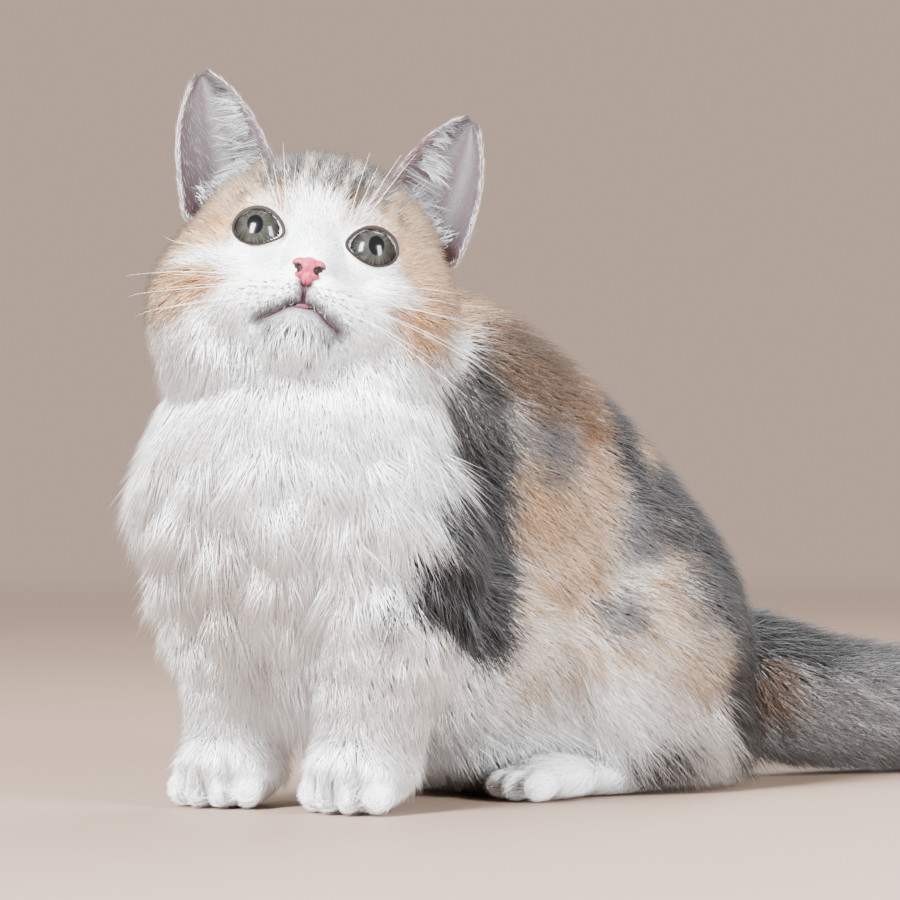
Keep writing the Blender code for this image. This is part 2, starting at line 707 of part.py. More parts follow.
def main():
    """Builds the kitten and returns the shift that brought it over the origin."""
    clear_scene()
    nodes = make_collection("munchkin_kitten")
    materials = {name: make_material(name) for name in COLOURS}
    made = {}

    head_frame = frame_at(HEAD_CENTRE, HEAD_TURN, HEAD_PITCH, HEAD_ROLL)
    head = build_head()
    head_room = grown(head, GAP)
    coarse = copy_of(head, "coarse")
    applied(coarse, ("DECIMATE", {"ratio": ROOM_TRIANGLES / len(coarse.data.polygons)}))
    hollow = grown(coarse, ROOM_SLACK)
    remove(coarse)
    cheeks = cheek_locks(head)
    combine(head, cheeks, "UNION")
    nose = build_nose()
    cut_mouth(head)
    boolean(head, grown(nose, GAP), "DIFFERENCE")
    cut_nostrils(nose)
    for name, side in SIDES.items():
        eye = build_eye(f"eye_{name}", side)
        boolean(head, lid_opening(side), "DIFFERENCE")
        boolean(head, grown(eye, GAP), "DIFFERENCE")
        ear = build_ear(f"ear_{name}", side)
        boolean(ear, head_room, "DIFFERENCE", keep_other=True)
        made[eye.name], made[ear.name] = eye, ear
    made["head"], made["nose"] = head, nose
    for obj in made.values():
        placed(obj, head_frame)

    trunk = build_trunk()
    combine(trunk, trunk_locks(trunk) + brisket_locks(trunk), "UNION")
    boolean(trunk, box_cutter("floor", (-0.5, -0.5, -0.2), (0.5, 0.5, 0)), "DIFFERENCE")
    boolean(trunk, placed(hollow, head_frame), "DIFFERENCE")
    remove(head_room)
    turn = head_frame.to_3x3()
    cheeks = [[(head_frame @ point, turn @ up, width, thick) for point, up, width, thick in lock]
              for lock in cheeks]
    combine(trunk, cheeks, "DIFFERENCE", grow=GAP)
    for name, side in SIDES.items():
        paw = build_paw(f"fore_paw_{name}", side, -16, 8)
        placed(paw, Matrix.Translation(FORE_PAW[name] * MM) @ Matrix.Rotation(CHEST_TURN, 4, "Z"))
        foot = build_paw(f"hind_paw_{name}", side, -19, 44)
        placed(foot, Matrix.Translation(HIND_PAW[name] * MM) @ Matrix.Rotation(-side * 0.1, 4, "Z"))
        boolean(trunk, grown(paw, GAP), "DIFFERENCE")
        boolean(trunk, grown(foot, GAP), "DIFFERENCE")
        made[paw.name], made[foot.name] = paw, foot
    made.update(part_trunk(trunk))

    look = {"eye": "iris", "nose": "nose_leather", "ear": "cream_coat", "torso": "tabby_coat",
            "rump": "tabby_coat", "tail": "tabby_coat", "thigh": "cream_coat"}
    corners = [vertex.co for obj in made.values() for vertex in obj.data.vertices]
    low = Vector([min(corner[axis] for corner in corners) for axis in range(3)])
    high = Vector([max(corner[axis] for corner in corners) for axis in range(3)])
    shift = -Vector(((low.x + high.x) / 2, (low.y + high.y) / 2, low.z))
    for name, obj in made.items():
        placed(obj, Matrix.Translation(shift))
        finish(obj, name, materials[look.get(name.split("_")[0], "white_coat")], nodes)
    return shift


if __name__ == "__main__":
    main()
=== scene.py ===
"""A life-size sitting munchkin kitten: skin, fur, ears, eyes, nose and whiskers on the solids.

Sizes whose comment or docstring says millimetres are in millimetres, all others in metres.
The body's axis runs along Y, the chest faces -Y and the animal's left side is +X.
"""
import logging
import math
import random
from dataclasses import astuple, dataclass, field
from enum import Enum, unique
from typing import Callable

import bmesh
import bpy
import numpy as np
from mathutils import Matrix, Vector, noise
from mathutils.bvhtree import BVHTree


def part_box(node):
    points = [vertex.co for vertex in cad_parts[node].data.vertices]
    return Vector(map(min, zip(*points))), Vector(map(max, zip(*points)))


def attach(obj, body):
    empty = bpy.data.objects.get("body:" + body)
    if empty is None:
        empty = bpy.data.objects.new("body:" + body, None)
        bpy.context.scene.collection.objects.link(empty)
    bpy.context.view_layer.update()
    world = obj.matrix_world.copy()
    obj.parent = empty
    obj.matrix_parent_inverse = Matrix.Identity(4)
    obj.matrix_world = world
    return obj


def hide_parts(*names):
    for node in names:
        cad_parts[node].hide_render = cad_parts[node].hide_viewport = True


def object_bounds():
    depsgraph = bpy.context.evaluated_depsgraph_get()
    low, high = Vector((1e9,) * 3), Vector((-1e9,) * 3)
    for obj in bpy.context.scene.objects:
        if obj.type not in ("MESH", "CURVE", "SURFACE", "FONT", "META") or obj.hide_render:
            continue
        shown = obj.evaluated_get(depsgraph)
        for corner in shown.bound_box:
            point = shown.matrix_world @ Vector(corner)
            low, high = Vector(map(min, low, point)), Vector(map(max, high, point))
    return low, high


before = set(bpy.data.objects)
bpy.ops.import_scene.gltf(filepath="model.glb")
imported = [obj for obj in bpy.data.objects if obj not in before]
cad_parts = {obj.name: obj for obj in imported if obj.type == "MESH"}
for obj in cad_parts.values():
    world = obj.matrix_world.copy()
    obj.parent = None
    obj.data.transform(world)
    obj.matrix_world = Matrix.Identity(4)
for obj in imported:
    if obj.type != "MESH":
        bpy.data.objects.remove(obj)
CAD_BOX = [list(corner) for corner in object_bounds()]
LOG = logging.getLogger("kitten")
MM = 0.001
BODY = "root"
BAKE_MAP = "OFBake"
FLOOR_GAP = 0.4 * MM
SKIN_GAP = 0.35 * MM
BARE_BELOW = 1.2 * MM
SKY = (0.68, 0.50, 0.40)
SKY_GLOW = 0.88
OPENING_WIDE, OPENING_HIGH = 6.4, 5.25
MOUTH_FRONT = -22
THROAT_FROM = 112
BIB_SPLIT = 82
BACK_SPLIT = 92
TOE_MIDDLES = (-6.9, 0.0, 6.9)
TOE_FOLD_WIDTH = 1.15
FOLD_DEPTH = 1.5
ROUNDED = ("SUBSURF", {"levels": 1, "render_levels": 1})
PIGMENTS = ("cream", "orange", "brown", "grey", "dark", "rose")


class Side(Enum):
    """The animal's own left and right, as the sign of X."""

    LEFT = 1
    RIGHT = -1

    @property
    def word(self) -> str:
        """The side's name as the solids spell it."""
        return self.name.lower()


def spot(*place: float) -> Vector:
    """A dataclass field that holds a place."""
    return field(default_factory=lambda: Vector(place))


# ---------------------------------------------------------------- node graphs
def wire_first(operation: str) -> Callable:
    """An operator's method with the wire on its left."""
    return lambda wire, other: wire.graph.maths(operation, wire, other)


def wire_last(operation: str) -> Callable:
    """An operator's method with the wire on its right."""
    return lambda wire, other: wire.graph.maths(operation, other, wire)


class Wire:
    """One output socket. Arithmetic on it adds maths nodes to its graph."""

    __add__, __radd__ = wire_first("ADD"), wire_last("ADD")
    __sub__, __rsub__ = wire_first("SUBTRACT"), wire_last("SUBTRACT")
    __mul__, __rmul__ = wire_first("MULTIPLY"), wire_last("MULTIPLY")
    __truediv__, __rtruediv__ = wire_first("DIVIDE"), wire_last("DIVIDE")
    __pow__ = wire_first("POWER")

    def __init__(self, graph: "Graph", socket: bpy.types.NodeSocket) -> None:
        """Keeps the graph and the socket."""
        self.graph = graph
        self.socket = socket


class Graph:
    """A shader or geometry node tree that is written as Python expressions."""

    def __init__(self, tree: bpy.types.NodeTree) -> None:
        """Keeps the tree that the nodes are added to."""
        self.tree = tree

    def node(self, kind: str, inputs: dict | None = None, output: int | str = 0,
             **settings: object) -> Wire:
        """Adds one node.

        Args:
            kind: the node's type.
            inputs: values or wires by socket name or number, set after the settings.
            output: the name or number of the output to return.
            settings: the node's own properties.

        Returns:
            The wire of the chosen output.
        """
        made = self.tree.nodes.new(kind)
        for key, value in settings.items():
            setattr(made, key, value)
        for key, value in (inputs or {}).items():
            if isinstance(value, Wire):
                self.tree.links.new(value.socket, made.inputs[key])
            else:
                made.inputs[key].default_value = value
        return Wire(self, made.outputs[output])

    def maths(self, operation: str, *values: object) -> Wire:
        """One maths node, on vectors if any value is one.

        Args:
            operation: the operation's name.
            values: wires, numbers or vectors.

        Returns:
            The result's wire.
        """
        def is_vector(value: object) -> bool:
            """Whether a value is a vector or carries one."""
            if isinstance(value, Wire):
                return value.socket.type in ("VECTOR", "RGBA")
            return not isinstance(value, (int, float))

        if any(is_vector(value) for value in values):
            spread = [value if isinstance(value, Wire) or is_vector(value) else (value,) * 3
                      for value in values]
            return self.vector(operation, *spread)
        return self.node("ShaderNodeMath", dict(enumerate(values)), operation=operation)

    def vector(self, operation: str, *values: object, output: int | str = 0) -> Wire:
        """One vector maths node."""
        return self.node("ShaderNodeVectorMath", dict(enumerate(values)), output,
                         operation=operation)

    def dot(self, a: Wire, b: Wire) -> Wire:
        """The dot product of two vectors."""
        return self.vector("DOT_PRODUCT", a, b, output="Value")

    def length(self, a: Wire) -> Wire:
        """The length of a vector."""
        return self.vector("LENGTH", a, output="Value")

    def unit(self, a: Wire) -> Wire:
        """A vector made one long."""
        return self.vector("NORMALIZE", a)

    def cross(self, a: Wire, b: Wire) -> Wire:
        """The cross product of two vectors."""
        return self.vector("CROSS_PRODUCT", a, b)

    def step(self, value: Wire, low: float, high: float) -> Wire:
        """A soft step from 0 at low to 1 at high."""
        return self.node("ShaderNodeMapRange", {"Value": value, "From Min": low, "From Max": high},
                         interpolation_type="SMOOTHSTEP")

    def noise(self, place: Wire, size: float, detail: float = 2.0) -> Wire:
        """Soft noise between 0 and 1 whose features are so many metres wide."""
        return self.node("ShaderNodeTexNoise",
                         {"Vector": place, "Scale": 1 / size, "Detail": detail})

    def blend(self, share: object, a: object, b: object, mode: str = "MIX") -> Wire:
        """Mixes two colours.

        Args:
            share: how much of the second colour there is.
            a: the first colour, as red, green and blue, or a wire.
            b: the second colour.
            mode: how the two are mixed.

        Returns:
            The colour's wire.
        """
        full = [value if isinstance(value, Wire) else (*value, 1.0) for value in (a, b)]
        return self.node("ShaderNodeMix", {0: share, 6: full[0], 7: full[1]}, 2,
                         data_type="RGBA", blend_type=mode)

    def reading(self, name: str, output: str = "Fac") -> Wire:
        """A shader's reading of one of the mesh's attributes."""
        return self.node("ShaderNodeAttribute", output=output, attribute_name=name)

    def place(self) -> Wire:
        """The object's own coordinates."""
        return self.node("ShaderNodeTexCoord", output="Object")

    def bump(self, height: Wire, strength: float, distance: float) -> Wire:
        """A normal that a height bends."""
        return self.node("ShaderNodeBump",
                         {"Height": height, "Strength": strength, "Distance": distance})


# ---------------------------------------------------------------- finishes
@dataclass(frozen=True)
class Finish:
    """A material whose constants sit on the shader's own sockets."""

    name: str
    roughness: float = 0.6
    constants: tuple = ()

    def paint(self, graph: Graph) -> dict:
        """What varies over the surface, by the shader's socket name."""
        raise NotImplementedError

    def build(self) -> bpy.types.Material:
        """Makes the material.

        Returns:
            The finished material.
        """
        material = bpy.data.materials.new(self.name)
        material.use_nodes = True
        graph = Graph(material.node_tree)
        shader = material.node_tree.nodes["Principled BSDF"]
        shader.inputs["Roughness"].default_value = self.roughness
        for key, value in self.constants:
            shader.inputs[key].default_value = value
        for key, wire in self.paint(graph).items():
            graph.tree.links.new(wire.socket, shader.inputs[key])
        return material


@dataclass(frozen=True)
class Pelt(Finish):
    """Hair and the skin under it, with the calico markings and the painted shade that the mesh
    carries.
    """

    name: str = "pelt"
    roughness: float = 0.62
    constants: tuple = (("Sheen Weight", 0.04), ("Specular IOR Level", 0.22))
    white: tuple = (0.93, 0.93, 0.93)
    shade: tuple = (0.82, 0.825, 0.84)
    cream: tuple = (0.56, 0.36, 0.205)
    orange: tuple = (0.33, 0.145, 0.052)
    grey: tuple = (0.125, 0.123, 0.13)
    brown: tuple = (0.075, 0.044, 0.025)
    charcoal: tuple = (0.007, 0.007, 0.008)
    rose: tuple = (0.075, 0.044, 0.049)
    # under: the colour of the painted shade at the hair roots.
    under: tuple = (0.115, 0.102, 0.115)

    def paint(self, graph: Graph) -> dict:
        """Lays the pigments over white, adds the mesh's painted shade, then darkens each hair
        towards its root as painted shade.
        """
        root = graph.reading("root", "Vector")
        along = graph.reading("along")
        chance = graph.reading("chance")
        patch = graph.noise(root, 0.012, 3.0)
        streak = graph.noise(root, 0.0028, 2.0)
        stray = (streak - 0.5) * 0.55 + (patch - 0.5) * 0.5 + (chance - 0.5) * 0.56

        colour = graph.blend(patch, self.white, self.shade)
        for name, low, high, tint in (("cream", 0.18, 0.68, self.cream),
                                      ("orange", 0.22, 0.72, self.orange),
                                      ("grey", 0.25, 0.75, self.grey),
                                      ("brown", 0.25, 0.72, self.brown)):
            colour = graph.blend(graph.step(graph.reading(name) + stray, low, high), colour, tint)
        tick = graph.step(chance + (streak - 0.5) * 0.4, 0.76, 0.94)
        tick = tick * graph.step(graph.reading("cream"), 0.2, 0.45) * 0.6
        colour = graph.blend(tick, colour, self.brown)
        ticked = graph.blend(graph.step(along + (chance - 0.5) * 0.5, 0.08, 0.6), self.grey,
                             self.charcoal)
        ticked = graph.blend(graph.step(chance + (streak - 0.5) * 0.7, 0.66, 1.0) * 0.56, ticked,
                             self.grey)
        dark = graph.step(graph.reading("dark") + stray, 0.28, 0.70)
        colour = graph.blend(dark, colour, ticked)
        colour = graph.blend(graph.step(graph.reading("rose"), 0.2, 0.9), colour, self.rose)
        # Painted shade between clumps and in creases: the lower part of each hair darkens towards
        # the under colour, as much as the mesh asks.
        smoke = graph.reading("smoke") * graph.step(along, 0.62, 0.18)
        colour = graph.blend(smoke, colour, self.under)
        # Painted shade: each hair is darker towards its root, with a little random tone from hair
        # to hair.
        depth = graph.step(along, 0.0, 0.45) * 0.18 + 0.82 + (chance - 0.5) * 0.12
        return {"Base Color": graph.blend(1.0, colour, depth, "MULTIPLY")}


@dataclass(frozen=True)
class EarSkin(Finish):
    """Thin pinkish grey skin of the ears."""

    name: str = "ear_skin"
    roughness: float = 0.55
    constants: tuple = (("Specular IOR Level", 0.3), ("Subsurface Weight", 0.15))
    inner: tuple = (0.034, 0.022, 0.025)
    # deep: the inner colour at half brightness, used for the painted shade down the cup and for the
    # veins.
    deep: tuple = (0.017, 0.011, 0.012)
    outer: tuple = (0.15, 0.12, 0.105)

    def paint(self, graph: Graph) -> dict:
        """Darker and pinker down the cup, where the darkening is painted shade in the hollow;
        greyer behind and at the tip.
        """
        veins = graph.noise(graph.place(), 0.004, 4.0)
        # Painted shade: the skin darkens towards the deep colour down into the cup's hollow.
        colour = graph.blend(graph.reading("depth"), self.inner, self.deep)
        colour = graph.blend(graph.step(veins, 0.45, 0.8) * 0.35, colour, self.deep)
        colour = graph.blend(graph.reading("back"), colour, self.outer)
        return {"Base Color": colour, "Normal": graph.bump(veins, 0.25, 0.0004)}


@dataclass(frozen=True)
class Iris(Finish):
    """A wet eyeball: dark pupil, grey-green iris with spokes, dark rim."""

    name: str = "iris"
    roughness: float = 0.18
    constants: tuple = (("Coat Weight", 0.45), ("Coat Roughness", 0.05), ("Coat IOR", 1.4),
                        ("Specular IOR Level", 0.12))
    pupil: tuple = (2.1, 2.75)
    inner: tuple = (0.018, 0.0176, 0.0150)
    outer: tuple = (0.0068, 0.0068, 0.0058)
    spoke: tuple = (0.044, 0.044, 0.038)
    black: tuple = (0.002, 0.0024, 0.003)

    def paint(self, graph: Graph) -> dict:
        """The pattern in millimetres about the gaze, which the mesh carries."""
        gaze = graph.reading("gaze", "Vector")
        flat = gaze * (1.0, 0.0, 1.0)
        radius = graph.length(flat)
        oval = graph.length(flat * (1 / self.pupil[0], 0.0, 1 / self.pupil[1]))
        spokes = graph.noise(graph.unit(flat) * 3.2 + flat * 0.09, 0.45, 4.0)
        fibres = graph.noise(graph.unit(flat) * 9.0 + flat * 0.16, 0.5, 2.0)
        colour = graph.blend(graph.step(radius, 2.4, 6.2), self.inner, self.outer)
        colour = graph.blend(graph.step(spokes, 0.42, 0.72) * 0.65, colour, self.spoke)
        colour = graph.blend(graph.step(fibres, 0.5, 0.75) * 0.45, colour, self.outer)
        colour = graph.blend(graph.step(radius, 5.5, 6.7), colour, self.black)
        colour = graph.blend(graph.step(oval, 1.12, 0.94), colour, self.black)
        return {"Base Color": colour}


@dataclass(frozen=True)
class Leather(Finish):
    """Bare pebbled skin: the nose, the lids and the lips."""

    name: str = "nose_leather"
    roughness: float = 0.42
    constants: tuple = (("Specular IOR Level", 0.22),)
    tint: tuple = (0.25, 0.021, 0.044)
    pale: tuple = (0.34, 0.044, 0.078)
    dark: tuple = (0.008, 0.001, 0.0015)
    grain: float = 0.0006

    def paint(self, graph: Graph) -> dict:
        """Mottled tint, darker where the mesh says so, with a fine pebble grain."""
        place = graph.place()
        mottle = graph.noise(place, 0.003, 3.0)
        pebble = graph.node("ShaderNodeTexVoronoi", {"Vector": place, "Scale": 1 / self.grain},
                            "Distance")
        colour = graph.blend(graph.step(mottle, 0.35, 0.7), self.tint, self.pale)
        # The mesh's dark: painted shade in the nostrils and the nose's crease, the lids' own dark
        # rim, and on the lips their own dark skin with painted shade of the fold.
        colour = graph.blend(graph.reading("dark"), colour, self.dark)
        return {"Base Color": colour, "Normal": graph.bump(pebble, 0.35, self.grain * 0.25),
                "Roughness": self.roughness + mottle * 0.15}


LID_SKIN = Leather("lid_skin", 0.62, (("Specular IOR Level", 0.2),), tint=(0.10, 0.042, 0.038),
                   pale=(0.15, 0.062, 0.056), dark=(0.003, 0.002, 0.002), grain=0.0005)
LIP_SKIN = Leather("lip_skin", 0.7, (("Specular IOR Level", 0.12),), tint=(0.20, 0.06, 0.075),
                   pale=(0.27, 0.10, 0.115), dark=(0.018, 0.009, 0.011))
PAD_ROOT = Leather("pad_root", tint=(0.2, 0.19, 0.2), pale=(0.25, 0.24, 0.25),
                   dark=(0.05, 0.05, 0.055))


@dataclass(frozen=True)
class Bristle(Finish):
    """Stiff pale whiskers, a little darker at the root."""

    name: str = "whisker"
    roughness: float = 0.3
    root: tuple = (0.55, 0.50, 0.46)
    tip: tuple = (0.93, 0.90, 0.84)

    def paint(self, graph: Graph) -> dict:
        """Runs from the root's tint to the tip's."""
        return {"Base Color": graph.blend(graph.step(graph.reading("along"), 0.0, 0.3),
                                          self.root, self.tip)}


@dataclass(frozen=True)
class Ground(Finish):
    """The plain pale floor, which fades into the sky away from the kitten."""

    name: str = "floor"
    roughness: float = 0.6
    tint: tuple = (0.20, 0.135, 0.10)
    other: tuple = (0.22, 0.15, 0.112)
    sky: tuple = SKY
    glow: float = SKY_GLOW
    near: float = 0.45
    far: float = 2.2

    def paint(self, graph: Graph) -> dict:
        """Two close tints in large soft clouds."""
        return {"Base Color": graph.blend(graph.noise(graph.place(), 0.3), self.tint, self.other)}

    def build(self) -> bpy.types.Material:
        """Mixes the floor's own shader with the sky's glow by distance."""
        material = super().build()
        graph = Graph(material.node_tree)
        shader = material.node_tree.nodes["Principled BSDF"]
        share = graph.step(graph.length(graph.place()), self.near, self.far)
        glow = graph.node("ShaderNodeEmission", {"Color": (*self.sky, 1.0), "Strength": self.glow})
        mixed = graph.node("ShaderNodeMixShader",
                           {0: share, 1: Wire(graph, shader.outputs["BSDF"]), 2: glow})
        exit_ = material.node_tree.nodes["Material Output"]
        graph.tree.links.new(mixed.socket, exit_.inputs["Surface"])
        return material


# ---------------------------------------------------------------- mesh tools
def linked(data: bpy.types.ID, name: str) -> bpy.types.Object:
    """A new object of that mesh, lamp or camera in the scene."""
    obj = bpy.data.objects.new(name, data)
    bpy.context.scene.collection.objects.link(obj)
    return obj


def aimed(data: bpy.types.ID, place: Vector, way: Vector) -> bpy.types.Object:
    """A lamp or camera in the scene at a place, looking along a way."""
    obj = linked(data, data.name)
    obj.location = place
    obj.rotation_mode = "QUATERNION"
    obj.rotation_quaternion = way.to_track_quat("-Z", "Y")
    return obj


def object_of(bm: bmesh.types.BMesh, name: str) -> bpy.types.Object:
    """A new object from a bmesh, which is freed."""
    mesh = bpy.data.meshes.new(name)
    bm.to_mesh(mesh)
    bm.free()
    return linked(mesh, name)


def applied(obj: bpy.types.Object, *modifiers: tuple) -> bpy.types.Object:
    """Bakes modifiers into an object's mesh.

    Args:
        obj: the object.
        modifiers: pairs of a modifier's type and its settings.

    Returns:
        The same object with a plain mesh.
    """
    for kind, settings in modifiers:
        modifier = obj.modifiers.new(kind.lower(), kind)
        for key, value in settings.items():
            setattr(modifier, key, value)
    graph = bpy.context.evaluated_depsgraph_get()
    mesh = bpy.data.meshes.new_from_object(obj.evaluated_get(graph))
    obj.modifiers.clear()
    old, obj.data = obj.data, mesh
    bpy.data.meshes.remove(old)
    return obj


def dropped(*objects: bpy.types.Object) -> None:
    """Removes helper objects with their meshes."""
    for obj in objects:
        mesh = obj.data
        bpy.data.objects.remove(obj, do_unlink=True)
        bpy.data.meshes.remove(mesh)


def joined(bm: bmesh.types.BMesh, *pieces: bpy.types.Object) -> list:
    """Adds helper objects to a mesh and drops them.

    Args:
        bm: the mesh that they join.
        pieces: the helpers.

    Returns:
        Each helper's count of vertices.
    """
    counts = [len(piece.data.vertices) for piece in pieces]
    for piece in pieces:
        bm.from_mesh(piece.data)
    dropped(*pieces)
    return counts


def points_of(mesh: bpy.types.Mesh) -> np.ndarray:
    """The vertices' places, one row each."""
    flat = np.empty(len(mesh.vertices) * 3)
    mesh.vertices.foreach_get("co", flat)
    return flat.reshape(-1, 3)


def normals_of(mesh: bpy.types.Mesh) -> np.ndarray:
    """The vertices' normals, one row each."""
    flat = np.empty(len(mesh.vertices) * 3, dtype=np.float32)
    mesh.vertex_normals.foreach_get("vector", flat)
    return flat.reshape(-1, 3).astype(float)


def edges_of(mesh: bpy.types.Mesh) -> np.ndarray:
    """The edges' pairs of vertex numbers."""
    flat = np.empty(len(mesh.edges) * 2, dtype=np.int32)
    mesh.edges.foreach_get("vertices", flat)
    return flat.reshape(-1, 2)


def store(mesh: bpy.types.Mesh, **columns: np.ndarray) -> None:
    """Keeps numbers or vectors on the vertices under their names."""
    for name, values in columns.items():
        kind, key = ("FLOAT_VECTOR", "vector") if values.ndim == 2 else ("FLOAT", "value")
        layer = mesh.attributes.get(name) or mesh.attributes.new(name, kind, "POINT")
        layer.data.foreach_set(key, np.ascontiguousarray(values, dtype=np.float32).ravel())


def moved_to(mesh: bpy.types.Mesh, points: np.ndarray) -> None:
    """Sets the vertices' places."""
    mesh.vertices.foreach_set("co", points.ravel())
    mesh.update()


def units(vectors: np.ndarray) -> np.ndarray:
    """Vectors made one long, one row each."""
    return vectors / np.maximum(np.linalg.norm(vectors, axis=1), 1e-6)[:, None]


def softened(values: np.ndarray, edges: np.ndarray, rounds: int) -> np.ndarray:
    """Averages values with their neighbours along the edges.

    Args:
        values: one row for each vertex.
        edges: pairs of vertex numbers.
        rounds: how often.

    Returns:
        The softened values.
    """
    count = len(values)
    table = values.reshape(count, -1).copy()
    degree = np.bincount(edges.ravel(), minlength=count) + 1.0
    for _ in range(rounds):
        for column in range(table.shape[1]):
            line = table[:, column]
            total = line + np.bincount(edges[:, 0], line[edges[:, 1]], count)
            table[:, column] = (total + np.bincount(edges[:, 1], line[edges[:, 0]], count)) / degree
    return table.reshape(values.shape)


def step(values: np.ndarray, low: float, high: float) -> np.ndarray:
    """A soft step from 0 at low to 1 at high."""
    share = np.clip((values - low) / (high - low), 0, 1)
    return share * share * (3 - 2 * share)


def blob(points: np.ndarray, centre: tuple, radii: tuple, soft: float = 0.35) -> np.ndarray:
    """1 inside an ellipsoid and 0 outside, with a soft edge."""
    reach = np.linalg.norm((points - np.array(centre)) / np.array(radii), axis=1)
    return step(reach, 1 + soft, 1 - soft)


def curve_point(points: list, place: float) -> Vector:
    """The point of a smooth curve through points, at a place counted in points."""
    place = min(max(place, 0.0), len(points) - 1)
    ends = [2 * points[0] - points[1], *points, 2 * points[-1] - points[-2]]
    i = min(int(place), len(points) - 2)
    t = place - i
    a, b, c, d = ends[i:i + 4]
    return 0.5 * (2 * b + (c - a) * t + (2 * a - 5 * b + 4 * c - d) * t ** 2
                  + (3 * b - a - 3 * c + d) * t ** 3)


def curve_through(points: list, count: int) -> list:
    """So many points on a smooth curve through the given ones."""
    return [curve_point(points, i / (count - 1) * (len(points) - 1)) for i in range(count)]


def frame_at(centre: Vector, turn: float = 0.0, pitch: float = 0.0, roll: float = 0.0) -> Matrix:
    """The matrix of a form at centre, pitched about X, rolled about Y and turned about Z."""
    return (Matrix.Translation(centre) @ Matrix.Rotation(turn, 4, "Z")
            @ Matrix.Rotation(roll, 4, "Y") @ Matrix.Rotation(pitch, 4, "X"))


def unwrapped(obj: bpy.types.Object) -> None:
    """Gives an object the bake map as an unwrap of its own shape."""
    mesh = obj.data
    while mesh.uv_layers:
        mesh.uv_layers.remove(mesh.uv_layers[0])
    mesh.uv_layers.new(name=BAKE_MAP)
    for other in bpy.context.selected_objects:
        other.select_set(False)
    obj.select_set(True)
    bpy.context.view_layer.objects.active = obj
    bpy.ops.object.mode_set(mode="EDIT")
    bpy.ops.mesh.select_all(action="SELECT")
    bpy.ops.uv.smart_project(angle_limit=math.radians(66), island_margin=0.002)
    bpy.ops.object.mode_set(mode="OBJECT")
    obj.select_set(False)


def dress(obj: bpy.types.Object, material: bpy.types.Material, slot: str,
          *nodes: str) -> bpy.types.Object:
    """Gives a piece its material and body, and hides the solids of the nodes it stands for.

    Args:
        obj: the finished piece.
        material: its material.
        slot: the record's slot; not used.
        nodes: names of the solids it replaces.

    Returns:
        The same object.
    """
    if not obj.data.materials:
        obj.data.materials.append(material)
    obj.data.shade_smooth()
    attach(obj, BODY)
    if nodes:
        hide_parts(*nodes)
    LOG.info("%s: %d faces", obj.name, len(obj.data.polygons))
    return obj


def finished(obj: bpy.types.Object, material: bpy.types.Material, slot: str,
             *nodes: str) -> bpy.types.Object:
    """Unwraps a piece and dresses it."""
    unwrapped(obj)
    return dress(obj, material, slot, *nodes)


def tube(name: str, line: list, sizes: list, sides: int) -> bpy.types.Object:
    """A closed tapering tube along points.

    Args:
        name: its name.
        line: its middle's points.
        sizes: its half thickness at each point.
        sides: how many sides it has.

    Returns:
        A helper object.
    """
    bm = bmesh.new()
    rings = []
    across = None
    for i, point in enumerate(line):
        forward = (line[min(i + 1, len(line) - 1)] - line[max(i - 1, 0)]).normalized()
        seed = across or forward.orthogonal()
        across = (seed - forward * seed.dot(forward)).normalized()
        other = forward.cross(across)
        rings.append([bm.verts.new(point + (across * math.cos(a) + other * math.sin(a)) * sizes[i])
                      for a in (2 * math.pi * k / sides for k in range(sides))])
    for low, high in zip(rings, rings[1:]):
        for k in range(sides):
            bm.faces.new((low[k], low[(k + 1) % sides], high[(k + 1) % sides], high[k]))
    bm.faces.new(list(reversed(rings[0])))
    bm.faces.new(rings[-1])
    bmesh.ops.recalc_face_normals(bm, faces=bm.faces)
    return object_of(bm, name)


